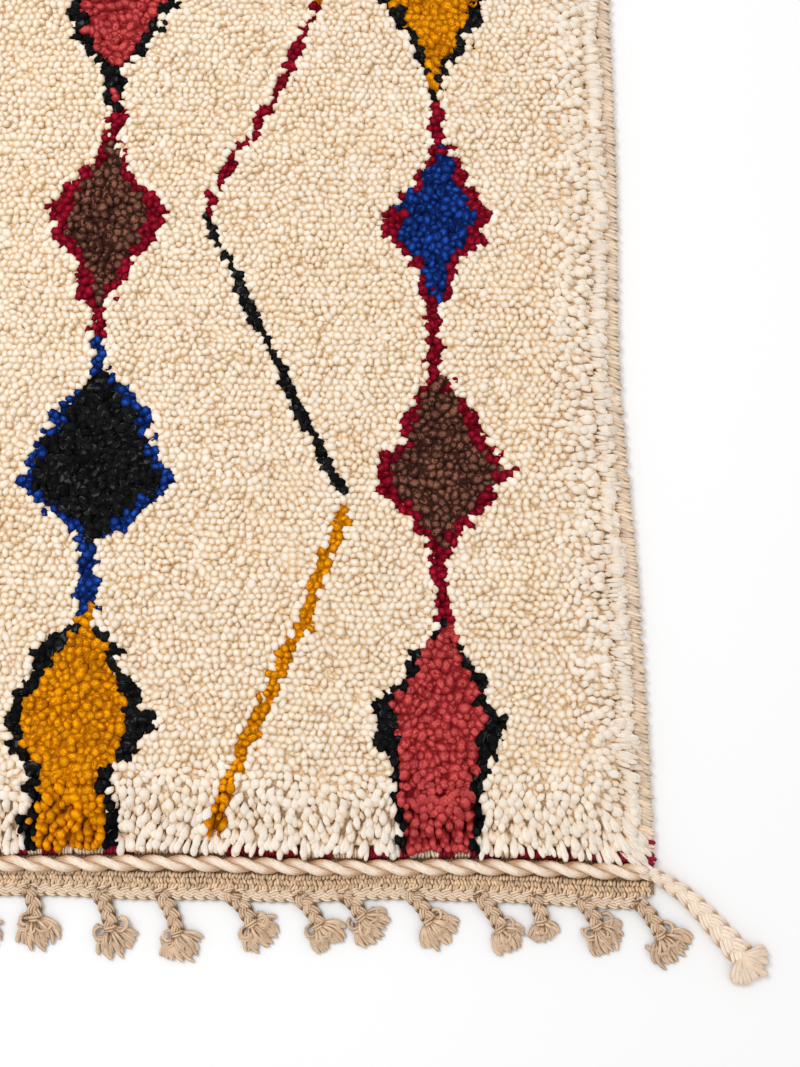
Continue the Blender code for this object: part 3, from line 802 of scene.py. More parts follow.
slope = ease(1 - end_in / END_FALL[1])
stray = STRAY + STRAY_BESIDE_DARK * meets_dark + STRAY_DYED * (dyed & ~outline)
spike = may_stray * chance.uniform(0, 1, count) ** 2 * STRAY_FAR
lean_x = drift[:, 0] * (DRIFT_LEAN + DRIFT_LEAN_AT_ENDS * slope) + chance.normal(0, 1, count) * stray + fall_x
lean_y = drift[:, 1] * DRIFT_LEAN_ALONG + chance.normal(0, 1, count) * stray + fall_y
lean_x, lean_y = lean_x + spike * outward[:, 0], lean_y + spike * outward[:, 1]
every_other = (column + row) % 2 * SHORT_EVERY_OTHER * (end_in > ROW_DEEP) * (side_in > 2 * ROW_DEEP)
short_share = np.where(dyed, SHORT_SHARE_DYED, mix(SHORT_SHARE, every_other, lies))
short = chance.uniform(0, 1, count) < short_share
under = np.where(side_in < ROW_DEEP, 1, short * lies) * ~dyed
foot_x, lean_x = foot_x - tuck, lean_x + tuck
lean_x, lean_y = lean_x * (1 - UNDER_UPRIGHT * under), lean_y * (1 - UNDER_UPRIGHT * under)
print(int(short.sum()), "tufts are short")

# %% Length, girth and tone of each tuft
RIM_SHARE, RIM_REACH = 0.30, 0.007
LENGTH_SPREAD, END_GROWTH = 0.0008, 0.10
SHORTER, SHORTER_DYED, UNDER_SHORTER, LYING_LONGER = 0.07, 0.08, 0.24, 0.10
OUTLINE_SLIMMER, LYING_FULLER, SHORT_SLIMMER = 0.14, 0.12, 0.12
DYED_FULLER, DYED_LYING_SLIMMER = 0.12, 0.16
EDGE_SLIMMER, EDGE_REACH = 0.26, 0.009
LYING_FLATTER, DYED_LYING_FLATTER = 0.65, 0.50
PALE_SIDE, PALE_END, PALE_BESIDE_DARK, PALE_UNDER = 0.020, 0.030, 0.45, 0.3
PALE_ODD_ABOVE, PALE_ODD = 0.86, 0.5

length = PILE_HEIGHT - GROUND_TOP + LUMP_HEIGHT * lumps + chance.normal(0, LENGTH_SPREAD, count)
length = length * (1 + rag * lies) * (1 - RIM_SHARE * np.exp(-side_in / RIM_REACH))
length += END_GROWTH * (to_near + to_far) + CORNER_GROWTH * corner
shorter = (1 - short * (SHORTER + SHORTER_DYED * dyed)) * (1 - UNDER_SHORTER * under)
length *= shorter * (1 + LYING_LONGER * lies * (1 - short))
girth = TUFT_GIRTH * chance.uniform(0.74, 1.20, count) * (1 - OUTLINE_SLIMMER * outline)
girth = girth * (1 + LYING_FULLER * lies) * (1 - SHORT_SLIMMER * short)
girth = girth * (1 + (DYED_FULLER - DYED_LYING_SLIMMER * lies) * dyed)
girth = girth * (1 - EDGE_SLIMMER * np.exp(-edge_in / EDGE_REACH))
flatness = 1 + chance.uniform(0, 0.75, count) + lies * np.where(dyed, DYED_LYING_FLATTER, LYING_FLATTER)
tint = chance.uniform(0, 1, count)
rim = np.exp(-side_in / PALE_SIDE) + np.exp(-end_in / PALE_END)
odd = (chance.uniform(0, 1, count) > PALE_ODD_ABOVE) * PALE_ODD
pale = np.clip(PALE_BESIDE_DARK * meets_dark + rim + odd, 0, 1)
# Tufts that lie under others are kept less pale: painted shade under the tufts above them.
pale = pale * chance.uniform(0.6, 1, count) * (1 - PALE_UNDER * under)
print("mean length", round(float(length.mean()) * 1000, 1), "mm")

# %% [markdown]
# Wool that is cut this close has no room to spare, so the tips push each other
# apart until they fill the surface evenly. The knots are stored row by row, so
# the neighbours of a knot are the ones beside it in a table, and the whole pile
# is pushed apart a little at a time with no search.

# %% Let the tips push each other apart
PUSHES = 14
PUSH_SHARE = 0.40
ROOM, LYING_ROOM, SHORT_ROOM, UNDER_ROOM = 1.38, 0.30, 0.30, 0.4


def pushed_apart(tip, room):
    """Moves each tip away from the neighbours that are closer than they have room for."""
    tip = tip.reshape(rows, row_knots, 2)
    room = room.reshape(rows, row_knots)
    for _ in range(PUSHES):
        push = np.zeros_like(tip)
        for down, over in ((0, 1), (1, -1), (1, 0), (1, 1)):
            here = (slice(0, rows - down), slice(max(0, -over), row_knots - max(0, over)))
            there = (slice(down, rows), slice(max(0, over), row_knots + min(0, over)))
            apart = tip[there] - tip[here]
            gap = np.linalg.norm(apart, axis=-1)
            want = (room[here] + room[there]) / 2
            too_close = np.clip(want - gap, 0, None) / np.maximum(gap, 1e-5)
            move = apart * too_close[..., None] * PUSH_SHARE / 2
            push[here] -= move
            push[there] += move
        tip = tip + push
    return tip.reshape(-1, 2)


foot = np.stack([foot_x, foot_y], axis=1)
room = ROOM * girth * (1 - LYING_ROOM * lies) * (1 - SHORT_ROOM * short) * (1 - UNDER_ROOM * under)
tip = pushed_apart(foot + np.stack([lean_x, lean_y], axis=1), room)
lean_x, lean_y = (tip - foot).T
print("tips moved", round(float(np.hypot(lean_x, lean_y).mean()) * 1000, 1), "mm on average")

# %% [markdown]
# Along the two sides the tufts have fallen over the binding, and there their yarn
# comes apart into slim locks. So each tuft of the second and third column is
# split in two narrower ones that lie side by side.

# %% Split the fallen tufts along the sides
SPLIT_FROM, SPLIT_TO = 0.0073, 0.0222
SPLIT_GIRTH, SPLIT_APART, SPLIT_FLATNESS, SPLIT_LONGER = 0.87, 0.0023, 1.0, 1.12
SPLIT_STRAY_X, SPLIT_STRAY_Y = 0.0016, 0.0010
TWIST = 0.6

twist = chance.normal(0, TWIST, count)
loose = np.random.default_rng(43)
split = np.flatnonzero(~dyed & (side_in > SPLIT_FROM) & (side_in < SPLIT_TO))
halves = np.concatenate([split, count + np.arange(len(split))])
places = (foot_x, foot_y, lean_x, lean_y, length, away, twist)
looks = (girth, flatness, tint, pale, lies, short, under, yarn)
foot_x, foot_y, lean_x, lean_y, length, away, twist = (np.append(v, v[split]) for v in places)
girth, flatness, tint, pale, lies, short, under, yarn = (np.append(v, v[split]) for v in looks)
foot_y[split] -= SPLIT_APART
foot_y[count:] += SPLIT_APART
girth[halves] *= SPLIT_GIRTH * loose.uniform(0.88, 1.12, len(halves))
flatness[halves] += SPLIT_FLATNESS
lean_x[halves] = lean_x[halves] * SPLIT_LONGER + loose.normal(0, SPLIT_STRAY_X, len(halves))
lean_y[halves] += loose.normal(0, SPLIT_STRAY_Y, len(halves))
length[halves] *= SPLIT_LONGER * loose.uniform(0.92, 1.08, len(halves))
tint[halves] = loose.uniform(0, 1, len(halves))
print(len(split), "tufts split in two")

# %% Raise the pile
TUFT_LEVELS = np.array([0.0, 0.30, 0.80, 0.938, 1.0])
TUFT_SWELL = np.array([0.0, 0.88, 1.0, 0.85, 0.0])
CREAM_BANDS = 4
REACH_SHARE, LEAST_RISE, BEND, SAG = 0.98, 0.36, 1.4, 0.35
LYING_SWELL, LYING_THINNER = 1.1, 0.15
LYING_PAINTED_SHADE, DYED_LYING_PAINTED_SHADE = 0.04, 0.26
SHORT_PAINTED_SHADE, UNDER_PAINTED_SHADE = 0.012, 0.018
cream_tuft, dyed_tuft = tuft_tube(5, 4), tuft_tube(6, 4)


def raise_tufts(name, tuft, chosen):
    lean = np.stack([lean_x, lean_y], axis=1)[chosen]
    reach, tall = np.hypot(*lean.T), length[chosen]
    lying, flat = lies[chosen, None], flatness[chosen, None]
    rise = np.sqrt(np.maximum(tall**2 - (REACH_SHARE * reach) ** 2, (LEAST_RISE * tall) ** 2))
    levels = TUFT_LEVELS[None, :]
    sag = (reach / np.maximum(tall, 1e-4))[:, None] ** 2 * levels**3 * SAG
    lines = points(
        foot_x[chosen, None] + lean[:, :1] * levels**BEND,
        foot_y[chosen, None] + lean[:, 1:] * levels**BEND,
        GROUND_TOP + rise[:, None] * (levels - sag),
    )
    turn = np.arctan2(lean[:, 1], lean[:, 0]) + math.pi / 2 + twist[chosen] * (1 - lies[chosen])
    beside = points(np.cos(turn), np.sin(turn), 0)
    full = girth[chosen, None] * TUFT_SWELL ** (1 + LYING_SWELL * lying)
    # The rise note sets the painted shade up each tuft, from the foot to the lit tip. Lying tufts keep less
    # of it, and short tufts and tufts lying under others get more.
    lying_painted_shade = np.where(yarn[chosen, None] == CREAM, LYING_PAINTED_SHADE, DYED_LYING_PAINTED_SHADE)
    tone = levels ** mix(lying_painted_shade, 1, (1 - lying) ** 3)
    tone = tone * (1 - SHORT_PAINTED_SHADE * short[chosen, None]) * (1 - UNDER_PAINTED_SHADE * under[chosen, None])
    return lay(
        name, tuft, lines, full / np.sqrt(flat), full * np.sqrt(flat * (1 - LYING_THINNER * lying)),
        beside, TUFT_FINISH[yarn[chosen[0]]], lowest=GROUND_TOP / 2,
        rise=tone, tint=tint[chosen], pale=pale[chosen], lies=lies[chosen],
    )


band = np.clip(((away + 1) / 2 * CREAM_BANDS).astype(int), 0, CREAM_BANDS - 1)
for part in range(CREAM_BANDS):
    chosen = np.flatnonzero((yarn == CREAM) & (band == part))
    dressed(raise_tufts(f"cream_tufts_{part + 1}", cream_tuft, chosen), "cream_pile", "pile_field")
for colour in (CHARCOAL, CRIMSON, ROSE, MUSTARD, BROWN, BLUE):
    chosen = np.flatnonzero(yarn == colour)
    dressed(raise_tufts(f"{YARNS[colour]}_tufts", dyed_tuft, chosen), f"{YARNS[colour]}_pile", "pile_field")

# %% [markdown]
# Below the tips the wool is packed so tight that no daylight passes. Modelling
# every fibre there would be wasted, so one lumpy bed fills the pile to a few
# millimetres under the tips, in a deeper, warmer tone of the yarn that stands on
# it, which is painted shade for the depth between the tips. It starts as a grid
# across the field, gets lower towards the edges, where the tufts lie down, and is
# closed underneath with one face.

# %% The packed wool between the tufts
BED_BELOW_TIPS = 0.0047
BED_CELL = 0.0115
BED_INSET = 0.0010
BED_RIM_SINKS = 0.0025
BED_REACH_SHARE = 0.93
BED_LEAST = 0.001
BED_SHADED_TONES = np.array([
    (0.86, 0.69, 0.49), (0.003, 0.003, 0.004), (0.12, 0.002, 0.008), (0.28, 0.018, 0.022),
    (0.56, 0.20, 0.002), (0.050, 0.018, 0.012), (0.004, 0.016, 0.10),
])


def field_grid(cell, inset):
    """A flat grid over the pile field, a little inside its four walls."""
    shape = bmesh.new()
    across, along = round((WIDTH - 2 * SELVEDGE_WIDTH) / cell), round(PILE_LENGTH / cell)
    bmesh.ops.create_grid(shape, x_segments=across, y_segments=along, size=1)
    for corner in shape.verts:
        u, v = corner.co.x * (1 - 2 * inset / WIDTH), corner.co.y * (1 - 2 * inset / PILE_LENGTH)
        corner.co.x, corner.co.y = (float(c) for c in on_rug(u, v))
    return shape


def close_slab(shape, depth):
    """Draws the rim of a sheet down to depth and closes it there."""
    rim = [e for e in shape.edges if e.is_boundary]
    drawn = bmesh.ops.extrude_edge_only(shape, edges=rim)["geom"]
    for corner in (g for g in drawn if isinstance(g, bmesh.types.BMVert)):
        corner.co.z = depth
    lower = [g for g in drawn if isinstance(g, bmesh.types.BMEdge) and g.is_boundary]
    bmesh.ops.contextual_create(shape, geom=lower)
    bmesh.ops.recalc_face_normals(shape, faces=shape.faces)


def finished(name, shape, finish, smooth=True):
    mesh = bpy.data.meshes.new(name)
    shape.to_mesh(mesh)
    shape.free()
    if smooth:
        mesh.shade_smooth()
    mesh.materials.append(finish)
    piece = add_to_scene(bpy.data.objects.new(name, mesh))
    print(name, sum(len(f.vertices) - 2 for f in mesh.polygons), "triangles")
    return piece


def tone_by_chart(mesh, tones):
    """Stores on each face the tone of the yarn that is knotted there."""
    middles = np.zeros(len(mesh.polygons) * 3)
    mesh.polygons.foreach_get("center", middles)
    x, y = middles.reshape(-1, 3)[:, :2].T
    store = mesh.attributes.new("tone", "FLOAT_VECTOR", "FACE")
    store.data.foreach_set("vector", tones[yarn_at(x, y + PILE_LENGTH / 2)].astype(np.float32).ravel())


packed = Finish("packed_wool", 0.95, 0.0)
packed_tone = packed.node("ShaderNodeAttribute", {"attribute_name": "tone"}, output="Vector")
strands = packed.grain(420, 3)
packed.dress(packed.shaded(packed_tone, strands.step(0.3, 0.7) * 0.5 + 0.75), strands, 0.6, 0.001)
shape = field_grid(BED_CELL, BED_INSET)
for corner in shape.verts:
    x, y, _ = corner.co
    from_side = min(x - side_wall(LEFT, y), side_wall(RIGHT, y) - x)
    rim_share = math.exp(-max(from_side, 0) / RIM_REACH)
    to_side = fall(from_side, *SIDE_FALL)
    to_end = fall(min(y - end_wall(NEAR, x), end_wall(FAR, x) - y), *END_FALL)
    reach = math.hypot(to_side, to_end)
    tall = PILE_HEIGHT - GROUND_TOP + LUMP_HEIGHT * lump(x, y)
    tall *= 1 - RIM_SHARE * rim_share
    upright = math.sqrt(max(tall**2 - (BED_REACH_SHARE * reach) ** 2, (LEAST_RISE * tall) ** 2))
    upright *= 1 - SAG * (reach / tall) ** 2
    sunk = upright - BED_BELOW_TIPS - BED_RIM_SINKS * rim_share
    corner.co.z = GROUND_TOP + max(sunk, BED_LEAST)
close_slab(shape, GROUND_TOP)
pile_bed = finished("packed_wool", shape, packed.material)
tone_by_chart(pile_bed.data, BED_SHADED_TONES)
dressed(pile_bed, "cream_pile", "pile_field")

# %% [markdown]
# Turned over, the rug shows the backs of the knots: the same pattern in small
# square bumps, with the beige ground yarn between the rows. The ground weave is
# a real sheet of cloth, two and a half millimetres thick. Its bumps are charted
# by the same rule as the knots above and raised by the finish.

# %% The ground weave
BACK_CELL = 0.0108
BACK_PITCH = 0.0036
BACK_TONES = np.array([
    (0.76, 0.60, 0.42), (0.016, 0.016, 0.017), (0.30, 0.008, 0.024), (0.52, 0.07, 0.07),
    (0.60, 0.26, 0.012), (0.12, 0.05, 0.03), (0.016, 0.06, 0.28),
])
backs = Finish("knot_backs", 0.92)
across_back, along_back = backs.two_ways(backs.place())
rows_of_knots = (along_back * (math.tau / KNOT_PITCH)).sine()
knots = (across_back * (math.tau / BACK_PITCH)).sine() * 0.5 + rows_of_knots * 0.5
back_tone = backs.node("ShaderNodeAttribute", {"attribute_name": "tone"}, output="Vector")
back_tone = backs.mix(backs.grain(300, 3) * 0.4, back_tone, (0.45, 0.42, 0.38), "OVERLAY")
back_tone = backs.mix(rows_of_knots.step(-1.0, -0.55), (0.50, 0.38, 0.25), back_tone)
backs.dress(back_tone, knots + backs.grain(500) * 0.5, 0.7, 0.0012)
shape = field_grid(BACK_CELL, CLEARANCE)
for corner in shape.verts:
    corner.co.z = CLEARANCE
close_slab(shape, GROUND_TOP)
ground = finished("ground_weave", shape, backs.material, smooth=False)
tone_by_chart(ground.data, BACK_TONES)
dressed(ground, "beige_wool", "pile_field")

# %% [markdown]
# Every other yarn on the rug is softly spun, so it shows as a round strand with
# fine lines that wind slowly about it. The map that lay stores on each strand
# runs once round it and then along it in centimetres, so a slanted wave of the
# two gives the lines, as painted shade in their grooves and as relief. The
# finish also paints shade on the sides of a strand and on strands that lie low.

# %% The finish of spun yarn
SPUN_TURNS = 0.5


def spun_finish(
    name, light, dark, lines=3, spread=0.12, depth=0.35, flank_shade=0.55, low_shade=(0.22, 0.80), crest=(0.42, 0.96)
):
    """Depth is how dark the painted shade in the fine grooves is, flank_shade how dark
    the painted shade on a strand's sides is below its crest, and low_shade the levels between which low
    strands get painted shade."""
    spun = Finish(name, 0.88)
    fine = spun.yarn_lines(lines, SPUN_TURNS)
    fibre = spun.grain(FIBRE_GRAIN, 3)
    groove = (fine * 0.65 + fibre * 0.35).step(0.10, 0.55)
    fleck = spun.grain(120, 3).step(0.45, 0.72)
    # Painted shade in the grooves, on the sides and on low strands, and flecks of the wool's own colour.
    dimmed = (1 - groove) * depth + fleck * 0.2 + spun.flank(*crest) * flank_shade + spun.read("low").step(*low_shade)
    colour = spun.shaded(spun.mix(dimmed, light, dark), 1 - spread + spun.read("tint") * (2 * spread))
    return spun.dress(colour, fine + fibre * 0.5, 0.5, 0.0005)


BEIGE_YARN = spun_finish("beige_yarn", (0.97, 0.79, 0.61), (0.39, 0.235, 0.12), depth=0.22, flank_shade=0.58)
SELVEDGE_YARN = spun_finish(
    "selvedge_yarn", (0.90, 0.73, 0.565), (0.42, 0.27, 0.16),
    spread=0.16, depth=0.3, flank_shade=0.64, crest=(0.62, 0.99),
)
CORD_YARN = spun_finish(
    "cord_yarn", (0.99, 0.85, 0.705), (0.60, 0.37, 0.215), 4,
    spread=0.05, depth=0.2, flank_shade=0.42, low_shade=(0.15, 0.62),
)
TASSEL_YARN = spun_finish("tassel_yarn", (0.785, 0.575, 0.40), (0.25, 0.13, 0.058), flank_shade=0.8)
RED_YARN = spun_finish("red_yarn", (0.38, 0.011, 0.040), (0.18, 0.003, 0.014))
print("spun yarns:", [m.name for m in (BEIGE_YARN, SELVEDGE_YARN, CORD_YARN, TASSEL_YARN, RED_YARN)])

# %% [markdown]
# Each side of the rug is bound: beige yarn is wound round and round the edge in
# bunches of a few turns, which pull it in between bunches. Each turn is a strand
# that runs once round a flat oval, and starts and ends underneath. Inside lies the
# core, a flat bundle of warps, which shows as warm brown between the turns.

# %% Wind the selvedges
BUNCH_SIZES = (2, 5)
TURN_PITCH = 0.0037
TURN_POINTS = 11
TURN_HALF_WIDTH, TURN_HALF_HEIGHT = 0.0024, 0.0026
BUNCH_DRAW = (0.0040, 0.0082)
TURN_SLANT, TURN_GATHER = 0.0028, 0.0011
TURN_SPAN = (-0.06, 1.06)
TURN_OUT, TURN_UP, DRAW_UP = 0.0012, 0.0003, 0.3
RED_TURNS = (0, 1, 2, 5)
CORE_POINTS, CORE_BACK, CORE_IN, CORE_HALF = 60, 0.002, 0.0112, (0.0060, 0.0034)

turn_tube = strand_tube(5, TURN_POINTS)


def wind(side):
    near = end_wall(NEAR, side * WIDTH / 2) - SELVEDGE_PAST_WALL
    far = end_wall(FAR, side * WIDTH / 2) + SELVEDGE_PAST_WALL
    turns = round((far - near) / TURN_PITCH)
    number = np.arange(turns)
    y = near + TURN_PITCH * (number + 0.5) + chance.uniform(-0.0005, 0.0005, turns)
    sizes = chance.integers(*BUNCH_SIZES, turns)
    bunch = np.repeat(number, sizes)[:turns]
    place_in_bunch = (number - np.searchsorted(bunch, bunch) + 0.5) / sizes[bunch] * 2 - 1
    draw = chance.uniform(*BUNCH_DRAW, turns)[bunch] * place_in_bunch**2 + chance.uniform(0, 0.0010, turns)
    angle = -math.pi / 2 + np.linspace(*TURN_SPAN, TURN_POINTS) * math.tau
    half_across = SELVEDGE_WIDTH / 2 - TURN_HALF_HEIGHT + TURN_OUT - draw / 2
    half_up = SELVEDGE_HEIGHT / 2 - TURN_HALF_HEIGHT + TURN_UP - draw * DRAW_UP
    centre = outer_edge(side, y) - side * (SELVEDGE_WIDTH + draw) / 2
    slant = TURN_SLANT * (1 + 0.5 * uneven(bunch, side))
    gathered = place_in_bunch[:, None] * TURN_GATHER * np.cos(angle)
    return number, points(
        centre[:, None] + side * half_across[:, None] * np.cos(angle),
        y[:, None] - slant[:, None] * np.cos(angle) + gathered,
        SELVEDGE_HEIGHT / 2 + half_up[:, None] * np.sin(angle),
    )


core_tube = strand_tube(6, CORE_POINTS)
for side, name in SIDES:
    number, lines = wind(side)
    y = np.linspace(lines[0, :, 1].max() + CORE_BACK, lines[-1, :, 1].min() - CORE_BACK, CORE_POINTS)
    middle = points(outer_edge(side, y) - side * CORE_IN, y, SELVEDGE_HEIGHT / 2)[None]
    beside = level_side(middle)
    core = lay(f"selvedge_{name}_core", core_tube, middle, *CORE_HALF, beside, SELVEDGE_YARN, tint=0.5)
    dressed(core, "beige_wool", f"selvedge_{name}")
    red = np.isin(number, RED_TURNS)
    for chosen, label, finish, slot in (
        (~red, "turns", SELVEDGE_YARN, "beige_wool"), (red, "red_turns", RED_YARN, "crimson_pile"),
    ):
        bound = lay(
            f"selvedge_{name}_{label}", turn_tube, lines[chosen], TURN_HALF_WIDTH, TURN_HALF_HEIGHT,
            (0, -side, 0), finish, tint=chance.uniform(0, 1, chosen.sum()),
        )
        dressed(bound, slot, f"selvedge_{name}")

# %% [markdown]
# Beyond the pile the warp goes on as a woven strip of beige yarn. Close to the
# pile a row of red and beige stitches holds the last knots, then comes the cord,
# and past the cord the weave shows as rows of short upright stitches. The strip
# itself is a thin sheet, and the stitches lie on it.

# %% The woven strips at the two ends
HEADING_DEPTH, HEADING_THICKNESS, HEADING_INSET = 0.0445, 0.0045, 0.0030
HEADING_WANDERS = ((0.0025, 0.40, 2.5), (0.0008, 0.17, 0.0))
SHOULDER_OUT = 0.0004
STRIP_TOP = 0.0032
STITCH_PITCH = 0.0035
STITCH_ROWS = (0.0330, 0.0388, 0.0440)
STITCH_REACH, STITCH_SLANTS = 0.0037, (-0.22, 0.32)
STITCH_HALF_WIDTH, STITCH_HALF_HEIGHT = 0.00185, 0.00170
STITCH_SWELL = np.array([0.6, 1.0, 1.0, 0.6])
STITCH_ARCH = np.array([-0.0002, 0.0016, 0.0016, -0.0002])
WEFT_PITCH = 0.0044


def heading_outer(end, x):
    wander = sum(h * np.sin(math.tau * x / l + p) for h, l, p in HEADING_WANDERS)
    return end_wall(end, x) + end * (HEADING_DEPTH + wander)


def heading_reach(end, side):
    return outer_edge(side, end * PILE_LENGTH / 2) - side * HEADING_INSET


stitch_tube = strand_tube(4, 4)
weave = spun_finish("strip_weave", (0.89, 0.66, 0.44), (0.30, 0.17, 0.08), spread=0.2)
# The cloth shows only between the stitches and is coloured much darker than their yarn: painted shade between
# the stitches. Its warp and weft cross in a fine checker, in colour and as relief.
weave_cloth = Finish("strip_cloth", 0.92)
x_cloth, y_cloth = weave_cloth.two_ways(weave_cloth.place())
warps = (x_cloth * (math.tau / STITCH_PITCH)).sine()
wefts = (y_cloth * (math.tau / WEFT_PITCH)).sine()
crossing = warps * wefts * 0.5 + 0.5
weave_cloth.dress(
    weave_cloth.mix(crossing.step(0.2, 0.8), (0.20, 0.12, 0.06), (0.50, 0.35, 0.22)), crossing, 0.7, 0.001
)


def strip(end, name):
    left, right = heading_reach(end, LEFT), heading_reach(end, RIGHT)
    shape = bmesh.new()
    bmesh.ops.create_grid(shape, x_segments=64, y_segments=3, size=1)
    for corner in shape.verts:
        x = mix(left, right, (corner.co.x + 1) / 2)
        inner = end_wall(end, x) + end * (SELVEDGE_PAST_WALL + CLEARANCE)
        beside_pile = side_wall(LEFT, end_wall(end, x)) < x < side_wall(RIGHT, end_wall(end, x))
        inner = end_wall(end, x) + end * (CLEARANCE + SHOULDER_OUT) if beside_pile else inner
        corner.co.y = mix(inner, heading_outer(end, x), (end * corner.co.y + 1) / 2)
        corner.co.x, corner.co.z = x, CLEARANCE
    if end == NEAR:
        bmesh.ops.reverse_faces(shape, faces=shape.faces)
    close_slab(shape, STRIP_TOP)
    cloth = finished(f"heading_{name}_strip", shape, weave_cloth.material, smooth=False)
    dressed(cloth, "beige_wool", f"heading_{name}")
    right - left


def stitches(end, name):
    left, right = heading_reach(end, LEFT) + HEADING_INSET, heading_reach(end, RIGHT) - HEADING_INSET
    number = np.arange(int((right - left) / STITCH_PITCH))
    share = np.linspace(-1, 1, len(STITCH_ARCH))
    lines = []
    for rank, out in enumerate(STITCH_ROWS):
        x = left + STITCH_PITCH * (number + 0.5 + 0.5 * (rank % 2))
        x += chance.uniform(-0.0006, 0.0006, len(number))
        slant = STITCH_PITCH * STITCH_SLANTS[rank % 2] + chance.normal(0, 0.0008, len(number))
        depth = np.abs(heading_outer(end, x) - end_wall(end, x))
        y = end_wall(end, x) + end * (out / HEADING_DEPTH * depth) + chance.normal(0, 0.0005, len(number))
        lines.append(points(
            x[:, None] + slant[:, None] * share,
            y[:, None] + end * STITCH_REACH * share * chance.uniform(0.8, 1.15, (len(number), 1)),
            STRIP_TOP + STITCH_ARCH + chance.uniform(0, 0.0006, (len(number), 1)),
        ))
    spun_piece(
        f"heading_{name}_stitches", "beige_wool", [f"heading_{name}"], stitch_tube, np.concatenate(lines),
        STITCH_HALF_WIDTH * STITCH_SWELL, STITCH_HALF_HEIGHT * STITCH_SWELL, weave,
    )


for end, name in ENDS:
    strip(end, name)
    stitches(end, name)

# %% [markdown]
# The row of stitches at the foot of the pile is worked in red, with a few beige
# stitches between, and peeps out under the last tufts.

# %% The red row
ACCENT_PITCH = 0.0032
ACCENT_OUT, ACCENT_REACH, ACCENT_INSET = 0.0080, 0.0056, 0.002
ACCENT_ARCH = np.array([0.0010, 0.0052, 0.0056, 0.0014])
ACCENT_GIRTH = (0.0018, 0.0016)
ACCENT_RUN, BEIGE_ABOVE = 5, 0.05
accent_tube = strand_tube(4, len(ACCENT_ARCH))
for end, name in ENDS:
    left = side_wall(LEFT, end_wall(end, 0)) + ACCENT_INSET
    right = side_wall(RIGHT, end_wall(end, 0)) - ACCENT_INSET
    number = np.arange(int((right - left) / ACCENT_PITCH))
    x = left + ACCENT_PITCH * (number + 0.5) + chance.uniform(-0.0006, 0.0006, len(number))
    share = np.linspace(-1, 1, len(ACCENT_ARCH))
    lines = points(
        x[:, None] + chance.normal(0, 0.0012, len(x))[:, None] * share,
        (end_wall(end, x) + end * ACCENT_OUT)[:, None] + end * ACCENT_REACH * share,
        STRIP_TOP + ACCENT_ARCH * chance.uniform(0.75, 1.2, (len(x), 1)),
    )
    beige = uneven(np.floor(number / ACCENT_RUN), 61 + end) > BEIGE_ABOVE
    for chosen, label, finish, slot in (
        (beige, "beige", BEIGE_YARN, "beige_wool"), (~beige, "red", RED_YARN, "crimson_pile"),
    ):
        nodes = [f"heading_{name}"]
        spun_piece(f"{label}_row_{name}", slot, nodes, accent_tube, lines[chosen], *ACCENT_GIRTH, finish)

# %% [markdown]
# The cord is laid from two thick plies, each of seven softly spun strands that
# run side by side. A ply winds round the cord's middle, so each time it comes over
# the top it shows one fat lobe with long fine lines. The cord is pressed a little
# flat by its own weight.

# %% Lay the twisted cords
CORD_FROM_WALL, CORD_INSET = 0.0225, 0.0020
CORD_WIDTH, CORD_HEIGHT, CORD_TURN = 0.0180, 0.0130, 0.0590
CORD_STEP = 0.0047
CORD_STRANDS = 7
PLY_FROM_MIDDLE = 0.0043
STRAND_FROM_PLY = 0.0028
STRAND_GIRTH = 0.0022
STRAND_FLATNESS = 0.86
STRAND_TURN = 0.40
CORD_START = 0.9
CORD_UNPRESSED = 0.0184
CORD_SQUASH = np.array([1.0, CORD_WIDTH / CORD_UNPRESSED, CORD_HEIGHT / CORD_UNPRESSED])
cord_foot = HEADING_THICKNESS + CLEARANCE
pace = math.tau / CORD_TURN
swing = PLY_FROM_MIDDLE * pace


def cord_line(end, x):
    return end_wall(end, x) + end * CORD_FROM_WALL


def cord_reach(end, side):
    return outer_edge(side, end * PILE_LENGTH / 2) - side * (CORD_INSET + SELVEDGE_WIDTH / 2)


for end, name in ENDS:
    left, right = cord_reach(end, LEFT), cord_reach(end, RIGHT)
    x = np.linspace(left, right, round((right - left) / CORD_STEP))
    lines = []
    axis = points(x, cord_line(end, x), cord_foot + CORD_HEIGHT / 2)
    for ply in range(2):
        turn = pace * (x - left) + math.pi * ply + CORD_START
        from_middle = points(0, np.cos(turn), np.sin(turn))
        course = unit(points(1, -swing * np.sin(turn), swing * np.cos(turn)))
        beside_ply = np.cross(course, from_middle)
        for strand in range(CORD_STRANDS):
            lay_angle = (math.tau * ((x - left) / STRAND_TURN + strand / CORD_STRANDS))[:, None]
            in_ply = np.cos(lay_angle) * from_middle + np.sin(lay_angle) * beside_ply
            offset = PLY_FROM_MIDDLE * from_middle + STRAND_FROM_PLY * in_ply
            lines.append(axis + offset * CORD_SQUASH)
    lines = np.array(lines)
    # Strands low on the cord get painted shade from the low note, which darkens the seams between its lobes.
    spun_piece(
        f"twisted_cord_{name}", "cord_wool", [f"twisted_cord_{name}"], strand_tube(5, len(x)), lines,
        STRAND_GIRTH, STRAND_GIRTH * STRAND_FLATNESS, CORD_YARN,
        low=(axis[0, 2] + CORD_HEIGHT / 2 - lines[..., 2]) / CORD_HEIGHT,
    )

# %% [markdown]
# A plait has three bunches of threads that take turns to cross the middle. Seen
# from above, a bunch swings from side to side once a turn, and goes over and
# under twice in that time. So one sine gives its swing, another at double the
# pace gives its height, and the three bunches are a third of a turn apart.

# %% Plait three bunches along a route
THREAD_SPACING = 1.62
THREAD_DROP = 0.55


